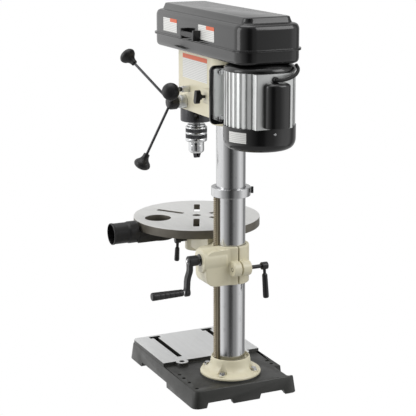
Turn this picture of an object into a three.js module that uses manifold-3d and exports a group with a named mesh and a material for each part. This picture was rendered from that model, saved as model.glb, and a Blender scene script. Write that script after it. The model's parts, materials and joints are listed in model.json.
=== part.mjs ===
// Bench drill press with a round tilting table, built as an assembly of separate parts.
// Units are millimetres. +Z is up, the operator stands on the -Y side, +X is the operator's right.
// The origin is the column's axis at the underside of the base.
import * as THREE from 'three';
import { mergeVertices } from 'three/addons/utils/BufferGeometryUtils.js';
import Module from 'manifold-3d';

const wasm = await Module();
wasm.setup();

// ---------------------------------------------------------------- driving dimensions

const GAP = 0.3;                 // clearance between parts that touch
const TAU = 2 * Math.PI;
const FINENESS = 0.5;            // share of each round piece's nominal number of sides

const COLUMN = { radius: 36.5, wall: 4, bottom: 48.5, top: 850 };
const BORE = COLUMN.radius + 0.7; // clears the column's corners on the flats of a many-sided ring
const SPINDLE_Y = -204.5;        // throat: spindle axis to column axis
const MOTOR_Y = 152;
const IDLER_Y = -42;

const BASE = {
  halfWidth: 140, front: -328, back: 89, corner: 16, draft: 5,
  painted: 44, ground: 52.5, groundBack: -112, ceiling: 34, wall: 8, ribFoot: 14, footRise: 12,
};
const EAR = { x: 88, y: -106, radius: 17, hole: 7 };
const SLOT = { x: 78, front: -318, back: -142, width: 13, head: 30, headLength: 14 };
const FLANGE = { radius: 77, bottom: 48 + GAP, rim: 55, top: 92, neck: 48.6, recess: 46.1, recessFloor: 84 };
const RACK = { module: 1.5, halfWidth: 7, back: 36.9, tip: 45.6, bottom: 85, top: 517 };
const PITCH = Math.PI * RACK.module;
const COLLAR = { radius: 49, bottom: 509, top: 531, middle: 522.3, recessTop: 518.5 };

const BRACKET = { radius: 46, bottom: 289, top: 386, halfWidth: 33, lugY: 54, lugZ: 333, lugRadius: 19 };
const TILT = { z: 340, radius: 32, face: -66, armFace: -66.4, armBack: -84 };
const CRANK = { y: 14, z: 356, throw: 78, armX: 127, gripStart: 138, gripEnd: 221 };
const LIFT_GEAR = { teeth: 12, x: RACK.tip - RACK.module + 9, z: 332, wheel: 15 };

const TABLE = {
  radius: 165.5, top: 412, bottom: 389.5, web: 399, rim: 12, hub: 36, post: 15, postBottom: 328, bore: 11,
  slots: 5, slotStart: 65, slotInner: 40, slotOuter: 122, slotWidth: 16,
  bigHole: 34, bigHoleAt: 105, bigHoleAngle: -8.5,
};
const DUST_PORT = { radius: 28.4, bore: 25.5, start: 172, end: 240, z: 386, y: -207 + 204.5 };

const HEAD = { halfWidth: 45, bottom: 700, top: 857, columnBoss: 50, barX: 59, barZ: 760, barRadius: 9 };
const QUILL = { radius: 22.5, bottom: 660, top: 838, bore: 12.3, rackTip: 21.7, rackHalf: 5 };
const GUIDE = { radius: 41, bottom: 664, top: 697.5 };
const FEED = { teeth: 18, y: SPINDLE_Y + 33.7, z: 722, hubStart: 69, hubEnd: 97 };
const SPOKE = { cone: 67.6, start: 12, end: 166, radius: 3.4, phase: 138.7, root: 86 };
const KNOB = { start: 147, length: 43, radius: 21.5 };
const SPINDLE = { radius: 9.5, bottom: 626, top: 950 };
const CHUCK = {
  body: 20.3, top: 656, bottom: 580, sleeve: 28, sleeveBottom: 610.5, sleeveTop: 650, jawTip: 567,
};
const JAW = { tilt: 15, radius: 5, length: 34, tipRadius: 3.7 };

const COVER = { halfWidth: 82, front: -300, back: 220, corner: 40, bottom: 857.3, seam: 889.8, top: 965 };
const HINGE = { x: -92, z: 889.8, pin: 3, knuckle: 5.5 };
const PULLEY = { bottom: 868, step: 16, groove: 6.8, large: 58, stepDown: 8 };
const BELT = { height: 6, thickness: 6 };
const MOTOR = {
  radius: 83.5, bottom: 654, bodyBottom: 712, bodyTop: 839, top: 857, ribs: 36, ribDepth: 4.5,
  plateFront: 52, plateBack: 59.7, flatBack: 84,
};

const PAINT = {
  cream: ['#d9d2b4', 0.42, 0], black: ['#141414', 0.25, 0], casting: ['#2f302d', 0.55, 0.1],
  ground: ['#c9c9c9', 0.35, 0.9], steel: ['#b4b4b4', 0.25, 1], chrome: ['#dadada', 0.12, 1],
  aluminium: ['#b9bbba', 0.35, 1], plastic: ['#1c1c1c', 0.6, 0], dark: ['#2c2c2c', 0.45, 0.6],
  rubber: ['#181818', 0.8, 0], red: ['#b3261e', 0.5, 0], iron: ['#5b554b', 0.5, 0.8],
};

// ---------------------------------------------------------------- geometry helpers

const radians = (degrees) => degrees * Math.PI / 180;

// Welds a closed surface, drops collapsed triangles and turns its faces outwards.
function weld(geometry) {
  const bare = new THREE.BufferGeometry();
  bare.setAttribute('position', geometry.getAttribute('position').clone());
  if (geometry.index) bare.setIndex(geometry.index.clone());
  const merged = mergeVertices(bare, 1e-4);
  const p = merged.getAttribute('position');
  const faces = [];
  let volume = 0;
  const a = new THREE.Vector3();
  const b = new THREE.Vector3();
  const c = new THREE.Vector3();
  for (let i = 0; i < merged.index.count; i += 3) {
    const [u, v, w] = [0, 1, 2].map((k) => merged.index.getX(i + k));
    if (u === v || v === w || w === u) continue;
    faces.push([u, v, w]);
    volume += a.fromBufferAttribute(p, u).dot(b.fromBufferAttribute(p, v).cross(c.fromBufferAttribute(p, w)));
  }
  const ordered = volume < 0 ? faces.map(([u, v, w]) => [u, w, v]) : faces;
  merged.setIndex(ordered.flat());
  return merged;
}

function toSolid(geometry) {
  const welded = weld(geometry);
  return new wasm.Manifold(new wasm.Mesh({
    numProp: 3,
    vertProperties: new Float32Array(welded.getAttribute('position').array),
    triVerts: new Uint32Array(welded.index.array),
  }));
}

function toGeometry(solid) {
  const mesh = solid.getMesh();
  const geometry = new THREE.BufferGeometry();
  geometry.setAttribute('position', new THREE.BufferAttribute(new Float32Array(mesh.vertProperties), 3));
  geometry.setIndex(new THREE.BufferAttribute(new Uint32Array(mesh.triVerts), 1));
  return geometry;
}

const join = (...pieces) => toGeometry(pieces.map(toSolid).reduce((sum, next) => sum.add(next)));
const common = (first, second) => toGeometry(toSolid(first).intersect(toSolid(second)));
const cut = (body, ...tools) => toGeometry(tools.map(toSolid).reduce((rest, tool) => rest.subtract(tool),
  toSolid(body)));

const moved = (geometry, x, y, z) => geometry.translate(x, y, z);
const alongX = (geometry) => geometry.rotateY(Math.PI / 2);     // +Z turns to +X
const alongY = (geometry) => geometry.rotateX(-Math.PI / 2);    // +Z turns to +Y

const sidesOf = (nominal) => Math.max(8, 2 * Math.round(nominal * FINENESS / 2));

function rod(radius, z0, z1, sides = 28) {
  const geometry = new THREE.CylinderGeometry(radius, radius, z1 - z0, sidesOf(sides));
  return geometry.rotateX(Math.PI / 2).translate(0, 0, (z0 + z1) / 2);
}

// A cutting tool for a round hole: its flats lie at the stated radius.
const hole = (radius, z0, z1, sides = 28) => rod(radius / Math.cos(Math.PI / sidesOf(sides)), z0, z1, sides);

function block(x0, x1, y0, y1, z0, z1) {
  const geometry = new THREE.BoxGeometry(x1 - x0, y1 - y0, z1 - z0);
  return geometry.translate((x0 + x1) / 2, (y0 + y1) / 2, (z0 + z1) / 2);
}

// Turns a profile of [radius, height] points about Z. A closed profile makes a ring.
function revolve(profile, sides = 36, closed = false) {
  const points = (closed ? [...profile, profile[0]] : profile).map(([r, z]) => new THREE.Vector2(r, z));
  return new THREE.LatheGeometry(points, sides < 8 ? sides : sidesOf(sides)).rotateX(Math.PI / 2);
}

const ringTube = (outer, inner, z0, z1, sides = 36) => revolve(
  [[inner, z0], [outer, z0], [outer, z1], [inner, z1]], sides, true);

function roundedShape(x0, x1, y0, y1, r) {
  const shape = new THREE.Shape();
  shape.moveTo(x0 + r, y0);
  shape.lineTo(x1 - r, y0);
  shape.absarc(x1 - r, y0 + r, r, -Math.PI / 2, 0);
  shape.lineTo(x1, y1 - r);
  shape.absarc(x1 - r, y1 - r, r, 0, Math.PI / 2);
  shape.lineTo(x0 + r, y1);
  shape.absarc(x0 + r, y1 - r, r, Math.PI / 2, Math.PI);
  shape.lineTo(x0, y0 + r);
  shape.absarc(x0 + r, y0 + r, r, Math.PI, 1.5 * Math.PI);
  return shape;
}

const polygon = (points) => new THREE.Shape(points.map(([x, y]) => new THREE.Vector2(x, y)));

function prism(shape, z0, z1, curveSegments = 4) {
  const geometry = new THREE.ExtrudeGeometry(shape, { depth: z1 - z0, bevelEnabled: false, curveSegments });
  return geometry.translate(0, 0, z0);
}

// Extrudes an outline drawn in X and Z along Y, from y0 to y1.
const prismAlongY = (shape, y0, y1, curveSegments = 4) => prism(shape, -y1, -y0, curveSegments)
  .rotateX(Math.PI / 2);
// Extrudes an outline drawn in Y and Z along X, from x0 to x1.
const prismAlongX = (shape, x0, x1, curveSegments = 4) => prism(shape, x0, x1, curveSegments)
  .rotateX(Math.PI / 2).rotateZ(Math.PI / 2);

// Skins level outlines of equal point counts into one closed solid.
function loft(rings) {
  const count = rings[0].points.length;
  const positions = rings.flatMap(({ points, z }) => points.flatMap(([x, y]) => [x, y, z]));
  const index = [];
  for (let level = 0; level + 1 < rings.length; level += 1) {
    for (let i = 0; i < count; i += 1) {
      const j = (i + 1) % count;
      const lower = level * count;
      const upper = lower + count;
      const [a, b, c, d] = [lower + i, lower + j, upper + j, upper + i];
      index.push(a, b, c, a, c, d);
    }
  }
  const cap = (ring, offset, flip) => {
    const contour = ring.points.map(([x, y]) => new THREE.Vector2(x, y));
    for (const [a, b, c] of THREE.ShapeUtils.triangulateShape(contour, [])) {
      index.push(...(flip ? [a, c, b] : [a, b, c]).map((k) => k + offset));
    }
  };
  cap(rings[0], 0, true);
  cap(rings[rings.length - 1], (rings.length - 1) * count, false);
  const geometry = new THREE.BufferGeometry();
  geometry.setAttribute('position', new THREE.Float32BufferAttribute(positions, 3));
  geometry.setIndex(index);
  return geometry;
}

// A rounded rectangle with a fixed number of points, so that its insets can be lofted together.
function outline(x0, x1, y0, y1, r, steps = 4) {
  const centres = [[x1 - r, y0 + r, -90], [x1 - r, y1 - r, 0], [x0 + r, y1 - r, 90], [x0 + r, y0 + r, 180]];
  return centres.flatMap(([x, y, from]) => Array.from({ length: steps + 1 }, (_, k) => {
    const angle = radians(from + 90 * k / steps);
    return [x + r * Math.cos(angle), y + r * Math.sin(angle)];
  }));
}

// A round bar along a smooth curve through the given points.
function tube(points, radius, sides = 10, steps = 30) {
  const curve = new THREE.CatmullRomCurve3(points.map((p) => new THREE.Vector3(...p)));
  const section = new THREE.Shape();
  section.absarc(0, 0, radius, 0, TAU);
  const options = { steps, extrudePath: curve, curveSegments: Math.ceil(sides / 2) };
  return new THREE.ExtrudeGeometry(section, options);
}

// A spur gear about Z with straight-sided teeth.
function gear(teeth, z0, z1) {
  const pitchRadius = teeth * RACK.module / 2;
  const points = [];
  for (let i = 0; i < teeth; i += 1) {
    const middle = TAU * i / teeth;
    const tooth = TAU / teeth;
    for (const [share, radius] of [[-0.24, -1.8], [-0.07, 0.8], [0.07, 0.8], [0.24, -1.8]]) {
      const angle = middle + share * tooth;
      const r = pitchRadius + radius;
      points.push([r * Math.cos(angle), r * Math.sin(angle)]);
    }
  }
  return prism(polygon(points), z0, z1);
}

// ---------------------------------------------------------------- scene graph helpers

const materials = Object.fromEntries(Object.entries(PAINT).map(([key, [color, roughness, metalness]]) => [
  key, new THREE.MeshStandardMaterial({ color, roughness, metalness })]));

function group(parent, x = 0, y = 0, z = 0) {
  const made = new THREE.Group();
  made.position.set(x, y, z);
  parent.add(made);
  return made;
}

function part(parent, name, geometry, material) {
  const mesh = new THREE.Mesh(weld(geometry), materials[material]);
  mesh.name = name;
  parent.add(mesh);
  return mesh;
}

// ---------------------------------------------------------------- base and column

// Trapezoidal recess under an edge of the base, between two feet.
function footRecess(from, to) {
  const slope = 5;
  return polygon([[from, -1], [to, -1], [to - slope, BASE.footRise], [from + slope, BASE.footRise]]);
}

function baseCavity() {
  const { halfWidth, front, back, wall, ceiling, ribFoot } = BASE;
  const x1 = halfWidth - wall;
  const y0 = front + wall;
  const y1 = back - wall;
  const bays = [
    [-x1, -64, y0, -214], [-56, 56, y0, -214], [64, x1, y0, -214],
    [-x1, -64, -206, -128], [-56, 56, -206, -128], [64, x1, -206, -128],
    [-112, -64, -120, y1], [-x1, -110, -120, -2], [-56, 56, -120, y1], [64, x1, -120, y1],
  ].map(([a, b, c, d]) => block(a, b, c, d, -1, ceiling));
  const underRibs = join(block(-x1, x1, y0, -2, -1, ribFoot), block(-112, x1, -3, y1, -1, ribFoot));
  return cut(join(...bays, underRibs), rod(42, -2, ceiling + 1, 24));
}

function baseCasting() {
  const { halfWidth: w, front, back, corner, draft, painted, ground, groundBack } = BASE;
  const body = loft([
    { points: outline(-w - draft, w + draft, front - draft, back + draft, corner + 2), z: 0 },
    { points: outline(-w, w, front, back, corner), z: painted - 2 },
    { points: outline(-w + 1.5, w - 1.5, front + 1.5, back - 1.5, corner), z: painted },
  ]);
  const groundPad = join(
    prism(roundedShape(-w + 2, w - 2, front + 2, groundBack, corner), painted - 3, ground),
    block(-w + 2, w - 2, groundBack - 40, groundBack, painted - 3, ground),
    ...[-1, 1].map((side) => moved(rod(EAR.radius, painted - 3, ground, 24), side * EAR.x, EAR.y, 0)),
  );
  const columnPad = rod(78.5, painted - 3, 48, 48);
  const slots = [-1, 1].flatMap((side) => [
    moved(prism(roundedShape(-SLOT.width / 2, SLOT.width / 2, SLOT.front, SLOT.back, 3), 28, ground + 1, 3),
      side * SLOT.x, 0, 0),
    moved(block(-SLOT.head / 2, SLOT.head / 2, SLOT.front, SLOT.front + SLOT.headLength, 28, ground + 1),
      side * SLOT.x, 0, 0),
    moved(rod(EAR.hole, 28, ground + 1, 14), side * EAR.x, EAR.y, 0),
  ]);
  const edgeHoles = [[124, -40], [124, -13], [124, 21], [124, 66], [-124, -36], [-124, -12]]
    .map(([x, y]) => moved(rod(5, 28, painted + 1, 12), x, y, 0));
  const sideNotch = prism(roundedShape(-160, -120, 8, 84, 6), -1, painted + 1, 4);
  const sideRecess = prismAlongX(footRecess(-248, -76), -160, 160);
  const endRecesses = [[36, 110], [-110, -36]].flatMap(([from, to]) => [
    prismAlongY(footRecess(from, to), 60, 110),
    prismAlongY(footRecess(from, to), -350, -300),
  ]);
  return cut(join(body, groundPad, columnPad), baseCavity(), ...slots, ...edgeHoles, sideNotch, sideRecess,
    ...endRecesses);
}

const flangeBolts = [45, 135, 225, 315]
  .map((angle) => [62 * Math.cos(radians(angle)), 62 * Math.sin(radians(angle))]);

function columnFlange() {
  const { radius, bottom, rim, top, neck, recess, recessFloor } = FLANGE;
  const flare = [0, 0.3, 0.6, 1].map((t) => {
    const angle = t * Math.PI / 2;
    return [neck + 2 + 20 * (1 - Math.sin(angle)), rim + 3 + 24 * (1 - Math.cos(angle))];
  });
  const ring = revolve([
    [BORE, bottom], [radius - 1, bottom], [radius, bottom + 1], [radius, rim - 2], [radius - 2, rim],
    ...flare, [neck, top - 1], [neck - 0.8, top], [recess, top], [recess, recessFloor], [BORE, recessFloor],
  ], 48, true);
  const pads = flangeBolts.map(([x, y]) => moved(rod(12.5, bottom + 2, rim + 4, 16), x, y, 0));
  const holes = flangeBolts.map(([x, y]) => moved(rod(5.6, bottom - 1, top, 12), x, y, 0));
  const tools = flangeBolts.map(([x, y]) => moved(rod(12.5, rim + 4, top, 16), x, y, 0));
  return cut(join(ring, ...pads), ...holes, ...tools);
}

const columnTube = () => ringTube(COLUMN.radius, COLUMN.radius - COLUMN.wall, COLUMN.bottom, COLUMN.top, 96);

function rackBar() {
  const { module, halfWidth, back, tip, bottom, top } = RACK;
  const root = tip - 2.2 * module;
  const points = [[back, top], [back, bottom], [root, bottom]];
  const middle = LIFT_GEAR.z;
  const first = Math.ceil((bottom + PITCH / 2 - middle) / PITCH);
  const last = Math.floor((top - PITCH / 2 - middle) / PITCH);
  for (let i = first; i <= last; i += 1) {
    const z = middle + (i + 0.5) * PITCH;
    if (z + 2 > top) break;
    points.push([root, z - PITCH / 2], [tip, z - 0.6], [tip, z + 0.6]);
  }
  points.push([root, top - 1], [root, top]);
  return prismAlongY(polygon(points), -halfWidth, halfWidth);
}

// Outward direction of the collar's set screw.
const SCREW_ANGLE = radians(153);

function rackCollar() {
  const { radius, bottom, top, recessTop } = COLLAR;
  const ring = revolve([
    [RACK.tip + 1.2, bottom], [radius - 1, bottom], [radius, bottom + 1], [radius, top - 1],
    [radius - 1, top], [BORE, top], [BORE, recessTop], [RACK.tip + 1.2, recessTop],
  ], 48, true);
  const screwHole = moved(alongX(hole(4, 30, 60, 12)), 0, 0, COLLAR.middle).rotateZ(SCREW_ANGLE);
  return cut(ring, screwHole);
}

function collarSetScrew() {
  const shank = rod(3.7, 37.2, 50, 12);
  const head = rod(8.5, COLLAR.radius + GAP, 56, 24);
  return moved(alongX(join(shank, head)), 0, 0, COLLAR.middle).rotateZ(SCREW_ANGLE);
}

// ---------------------------------------------------------------- table bracket, crank and lock

function bracketChambers() {
  const { x, z } = LIFT_GEAR;
  const shaftHole = moved(alongY(hole(5.3, -21, 31, 12)), x, 0, z);
  const pinionRoom = moved(alongY(rod(11.6, -8, 9, 16)), x, 0, z);
  const wheelRoom = moved(alongY(rod(16.8, 8.4, 20.6, 20)), x, 0, z);
  const wormRoom = moved(alongX(rod(10.4, 46.5, 72, 16)), 0, CRANK.y, CRANK.z);
  const crankHole = moved(alongX(hole(8.3, 70, 110, 20)), 0, CRANK.y, CRANK.z);
  return [shaftHole, pinionRoom, wheelRoom, wormRoom, crankHole];
}

function tableBracket() {
  const { radius, bottom, top, halfWidth, lugY, lugZ, lugRadius } = BRACKET;
  const collar = revolve([[0, bottom], [radius - 2, bottom], [radius, bottom + 2], [radius, top - 2],
    [radius - 2, top], [0, top]], 48);
  const gearCase = new THREE.Shape();
  gearCase.moveTo(0, bottom + 1);
  gearCase.lineTo(56, bottom + 1);
  gearCase.absarc(56, bottom + 31, 30, -Math.PI / 2, 0);
  gearCase.lineTo(86, 350);
  gearCase.absarc(62, 354, 24, 0, Math.PI / 2);
  gearCase.lineTo(0, top - 4);
  const casing = prismAlongY(gearCase, -halfWidth + 8, halfWidth + 8, 8);
  const crankBoss = moved(alongX(rod(31, 30, 92, 36)), 0, CRANK.y, CRANK.z - 1);
  const lug = moved(alongX(revolve([[0, -26], [lugRadius - 3, -26], [lugRadius, -23], [lugRadius, 19],
    [lugRadius - 3, 22], [0, 22]], 28)), 0, lugY - 2, lugZ);
  const lugRoot = block(-26, 22, 30, lugY - 4, lugZ - lugRadius + 2, lugZ + lugRadius - 2);
  const tiltBoss = moved(alongY(rod(TILT.radius, TILT.face, -20, 32)), 0, 0, TILT.z);
  const body = join(collar, casing, crankBoss, lug, lugRoot, tiltBoss);
  return cut(body,
    hole(BORE, bottom - 1, top + 1, 48),
    block(30, RACK.tip + 0.8, -RACK.halfWidth - 0.6, RACK.halfWidth + 0.6, bottom - 1, top + 1),
    block(-0.9, 0.9, 30, lugY + lugRadius + 4, bottom - 1, top + 1),
    block(-60, 60, -60, -30, 374, top + 1),
    moved(alongX(hole(5.4, -40, 40, 14)), 0, lugY + 1, lugZ),
    moved(alongY(hole(8.3, TILT.face - 1, -44, 24)), 0, 0, TILT.z),
    ...bracketChambers());
}

// Compound gear: the pinion runs on the rack and the wider wheel meets the worm.
function liftPinion() {
  const { teeth, x, z, wheel } = LIFT_GEAR;
  const turned = join(
    gear(teeth, -7, 8.6),
    rod(wheel, 9, 20, 28),
    rod(5, -20, 30, 10));
  return moved(alongY(turned), x, 0, z);
}

function crankShaft() {
  const worm = [];
  const turns = 4;
  for (let i = 0; i < turns; i += 1) {
    const z = 48 + i * 5;
    worm.push([6.6, z], [8.4, z + 1.5], [8.4, z + 3.5]);
  }
  const profile = [[0, 48], ...worm, [6.6, 69], [8, 69], [8, 97], [6.5, 97], [6.5, 121], [0, 121]];
  return moved(alongX(revolve(profile, 18)), 0, CRANK.y, CRANK.z);
}

function crankArm() {
  const { y, z, throw: reach, armX } = CRANK;
  const low = z - reach;
  const spine = [[119, z - 8], [119, z - 24], [125, z - 44], [armX, low]];
  const edge = (shift) => new THREE.CatmullRomCurve3(spine
    .map(([a, b]) => new THREE.Vector3(a + shift, b, 0))).getPoints(8);
  const left = edge(-5.5);
  const right = edge(5.5);
  const side = polygon([...left.map((p) => [p.x, p.y]), ...right.reverse().map((p) => [p.x, p.y])]);
  const hub = moved(alongX(revolve([[0, 98], [12, 98], [13.5, 100], [13.5, 122],
    [12, 124.5], [0, 124.5]], 24)),
    0, y, z);
  const eye = moved(alongX(revolve([[0, 120.5], [10, 120.5], [11, 122], [11, 132.5],
    [10, 134], [0, 134]], 20)),
    0, y, low);
  const web = prismAlongY(side, y - 9, y + 9);
  return cut(join(hub, web, eye),
    moved(alongX(hole(6.8, 90, 122, 16)), 0, y, z),
    moved(alongX(hole(4.3, 110, 140, 12)), 0, y, low));
}

function crankGripPin() {
  const profile = [[0, 121], [4, 121], [4, 134.3], [7.5, 134.3], [7.5, 137.5], [4, 137.5],
    [4, 214], [0, 214]];
  return moved(alongX(revolve(profile, 12)), 0, CRANK.y, CRANK.z - CRANK.throw);
}

function crankGrip() {
  const { gripStart: a, gripEnd: b } = CRANK;
  const profile = [[4.4, a], [7.6, a], [8.6, a + 1.5], [9, a + 30], [10.3, b - 5], [10, b - 1.5], [8.5, b],
    [0, b], [0, 215], [4.4, 215]];
  return moved(alongX(revolve(profile, 24, true)), 0, CRANK.y, CRANK.z - CRANK.throw);
}

// A lever with a hub about X and a handle that hangs from it, tilted outwards in X.
function hangingLever(hubRadius, hubLength, drop, grip, lean) {
  const hub = alongX(revolve([[0, -hubLength / 2], [hubRadius - 1.5, -hubLength / 2],
    [hubRadius, 1.5 - hubLength / 2],
    [hubRadius, hubLength / 2 - 1.5], [hubRadius - 1.5, hubLength / 2], [0, hubLength / 2]], 20));
  const handle = revolve([[0, -drop], [grip - 2.5, -drop], [grip, -drop + 4], [grip - 0.8, -hubRadius - 13],
    [3.8, -hubRadius - 10], [3.8, -hubRadius + 3], [0, -hubRadius + 3]], 16);
  return join(hub, handle.rotateY(radians(lean)));
}

function columnLockLever() {
  const screw = alongX(rod(4.9, 4, 84, 14));
  return moved(join(hangingLever(9.5, 17, 84, 7.6, 4), screw), -66, BRACKET.lugY + 1, BRACKET.lugZ);
}

// ---------------------------------------------------------------- table (about the post's axis)

function tableArm() {
  const { z, radius, armFace, armBack } = TILT;
  const disc = moved(alongY(rod(radius, armBack - SPINDLE_Y, armFace - SPINDLE_Y, 32)), 0, 0, z);
  const beam = block(-25, 25, 0, armBack - SPINDLE_Y + 2, 332, 386);
  const boss = revolve([[0, 322], [29, 322], [31, 324], [31, 388], [0, 388]], 32);
  return cut(join(disc, beam, boss),
    block(-17, 17, 28, armBack - SPINDLE_Y, 320, 377),
    moved(alongY(hole(8.3, 110, 145, 24)), 0, 0, z),
    hole(TABLE.post + GAP, 320, 390, 28),
    moved(alongX(hole(5.3, 10, 40, 12)), 0, 0, 350));
}

// The tilt bolt runs from the arm's channel into the bracket.
function tiltBolt() {
  const head = revolve([[0, -14], [11, -14], [12, -13], [12, -GAP], [0, -GAP]], 6);
  const bolt = join(head, rod(8, -1, 38, 24));
  return moved(alongY(bolt), 0, TILT.armBack, TILT.z);
}

function tablePlate() {
  const { radius, top, bottom, web, rim, hub, post, postBottom, bore } = TABLE;
  const disc = revolve([
    [bore, postBottom], [post, postBottom], [post, bottom], [hub, bottom], [hub, web], [radius - rim, web],
    [radius - rim, bottom], [radius, bottom], [radius, top - 0.8], [radius - 0.8, top], [bore, top],
  ], 104, true);
  const ribs = [35, 95, 155, 215, 275, 335].map((angle) => block(hub - 2, radius - rim + 2, -4, 4,
    bottom + 2, web + 1)
    .rotateZ(radians(angle)));
  const angle = radians(TABLE.bigHoleAngle);
  const [x, y] = [TABLE.bigHoleAt * Math.cos(angle), TABLE.bigHoleAt * Math.sin(angle)];
  const holeWall = moved(rod(TABLE.bigHole + 6, bottom, web + 1, 28), x, y, 0);
  const slots = Array.from({ length: TABLE.slots }, (_, i) => prism(
    roundedShape(TABLE.slotInner, TABLE.slotOuter, -TABLE.slotWidth / 2, TABLE.slotWidth / 2, 4),
    bottom - 1, top + 1, 2).rotateZ(radians(TABLE.slotStart + 60 * i)));
  const bigHole = moved(rod(TABLE.bigHole, bottom - 1, top + 1, 36), x, y, 0);
  return cut(join(disc, ...ribs, holeWall), bigHole, ...slots);
}

// Catcher box under the table's large hole, with a round port for a hose.
function dustPort() {
  const { radius, bore, start, end, z, y } = DUST_PORT;
  const roof = TABLE.bottom - GAP;
  const angle = radians(TABLE.bigHoleAngle);
  const [x, hy] = [TABLE.bigHoleAt * Math.cos(angle), TABLE.bigHoleAt * Math.sin(angle)];
  const catcher = join(moved(rod(39, 360, roof, 32), x, hy, 0),
    block(x, start + 3, y - 25, y + 25, 361, roof));
  const port = moved(alongX(revolve([[0, start], [radius, start], [radius, start + 22],
    [radius - 1.6, start + 26],
    [radius - 1.6, end], [0, end]], 32)), 0, y, z);
  return cut(join(catcher, port),
    moved(rod(TABLE.bigHole, 364, roof + 1, 28), x, hy, 0),
    block(x, start + 4, y - 20, y + 20, 365, 385),
    moved(alongX(rod(bore, start + 3, end + 1, 28)), 0, y, z));
}

function tableLockHandle() {
  const screw = moved(alongX(rod(5, 17, 50, 12)), 0, 0, 350);
  const lever = moved(hangingLever(8, 15, 56, 6.8, -3), 55, 0, 350);
  return join(screw, lever);
}

// ---------------------------------------------------------------- head

function headOutline(grow = 0) {
  const w = HEAD.halfWidth + grow;
  const shape = new THREE.Shape();
  shape.moveTo(-w, -20);
  shape.lineTo(-w, SPINDLE_Y);
  shape.absarc(0, SPINDLE_Y, w, Math.PI, TAU);
  shape.lineTo(w, -20);
  shape.closePath();
  return shape;
}

function headCasting() {
  const { bottom, top, columnBoss, barX, barZ, barRadius } = HEAD;
  const body = prism(headOutline(), bottom, top, 14);
  const socket = revolve([[0, bottom - 12], [columnBoss - 2, bottom - 12], [columnBoss, bottom - 10],
    [columnBoss, top], [0, top]], 40);
  const barLugs = [-1, 1].map((side) => prismAlongY(
    roundedShape(side * barX - 13, side * barX + 13, barZ - 19, barZ + 19, 8), -12, 40, 4));
  const lugRoots = [[30, 52], [-52, -30]].map(([a, b]) => block(a, b, -12, 30, barZ - 19, barZ + 19));
  const feedBoss = moved(alongX(rod(21, -46.5, 46.5, 28)), 0, FEED.y, FEED.z);
  const switchPad = block(-24, 24, -252, -230, 762, 836);
  const quillBore = moved(hole(QUILL.radius + GAP, bottom - 20, QUILL.top + 1, 36), 0, SPINDLE_Y, 0);
  const spindleHole = moved(rod(16, 700, top + 1, 20), 0, SPINDLE_Y, 0);
  const feedBore = join(moved(alongX(hole(15.2, -5.5, 50, 24)), 0, FEED.y, FEED.z),
    moved(alongX(hole(9, -50, 0, 20)), 0, FEED.y, FEED.z));
  const hollow = prism(roundedShape(-37, 37, -142, -58, 10), bottom - 1, top - 9, 2);
  const barBores = [-1, 1]
    .map((side) => moved(alongY(hole(barRadius + GAP, -20, 50, 20)), side * barX, 0, barZ));
  const knobHole = moved(alongX(hole(4.3, 66, 80, 12)), 0, 3, barZ);
  const plateRoom = block(-46, 46, 41.5, columnBoss + 1, bottom - 4, MOTOR.bodyTop + 8);
  return cut(join(body, socket, ...barLugs, ...lugRoots, feedBoss, switchPad),
    hole(BORE, bottom - 20, COLUMN.top + 1, 48), quillBore, spindleHole, feedBore, hollow,
    ...barBores, knobHole,
    plateRoom);
}

function guideCollar() {
  const { radius, bottom, top } = GUIDE;
  const ring = revolve([[QUILL.radius + GAP, bottom], [radius - 3, bottom], [radius, bottom + 3],
    [radius, top - 1], [radius - 1, top], [QUILL.radius + GAP, top]], 40, true);
  const slot = block(-5, 5, 30, 50, bottom + 12, top + 1).rotateZ(radians(-22));
  return cut(ring, slot);
}

// ---------------------------------------------------------------- quill, spindle and chuck

function quillTube() {
  const { radius, bottom, top, bore, rackTip, rackHalf } = QUILL;
  const body = ringTube(radius, bore, bottom, top, 36);
  const flat = block(-rackHalf - 1, rackHalf + 1, rackTip - 3.3, radius + 2, 704, 830);
  const points = [];
  const first = -2;
  const last = 20;
  for (let i = first; i <= last; i += 1) {
    const z = FEED.z + (i + 0.5) * PITCH;
    points.push([rackTip - 3.3, z - 1.8], [rackTip, z - 0.6], [rackTip, z + 0.6], [rackTip - 3.3, z + 1.8]);
  }
  const inner = rackTip - 5;
  points.push([inner, FEED.z + (last + 0.5) * PITCH + 1.8], [inner, FEED.z + (first + 0.5) * PITCH - 1.8]);
  return join(cut(body, flat), prismAlongX(polygon(points), -rackHalf, rackHalf));
}

function spindleShaft() {
  const { radius, bottom, top } = SPINDLE;
  return revolve([[0, bottom], [8, bottom], [radius - 0.5, 655], [radius, 657], [radius, 844], [7.6, 846],
    [7.6, top - 1], [6.6, top], [0, top]], 24);
}

const jawAngles = [-90, 30, 150];

// Straight bore that guides one jaw, from the nose up and outwards.
function jawBore(angle, radius, length, start = 0) {
  const bore = rod(radius, start, length, 16).rotateY(radians(JAW.tilt));
  return moved(bore, JAW.tipRadius, 0, CHUCK.jawTip).rotateZ(radians(angle));
}

function chuckBody() {
  const { body, top, bottom, sleeveTop } = CHUCK;
  const turned = revolve([[0, bottom], [16.5, bottom], [19.5, bottom + 3], [body, bottom + 6],
    [body, sleeveTop - 1],
    [23.5, sleeveTop + GAP], [23.5, top - 1.5], [22, top], [0, top]], 36);
  const mouth = SPINDLE.radius + GAP;
  const socket = revolve([[0, 620], [8.4, 620], [8.4, bottom + 46], [mouth, 655], [mouth, 660],
    [0, 660]], 20);
  const keyHoles = [0, 120, 240].map((angle) => moved(alongX(hole(3.6, 12, 30, 10)), 0, 0, 603)
    .rotateZ(radians(angle + 63)));
  return cut(turned, socket, ...keyHoles,
    ...jawAngles.map((angle) => jawBore(angle, JAW.radius + GAP, 62, -5)));
}

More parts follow.
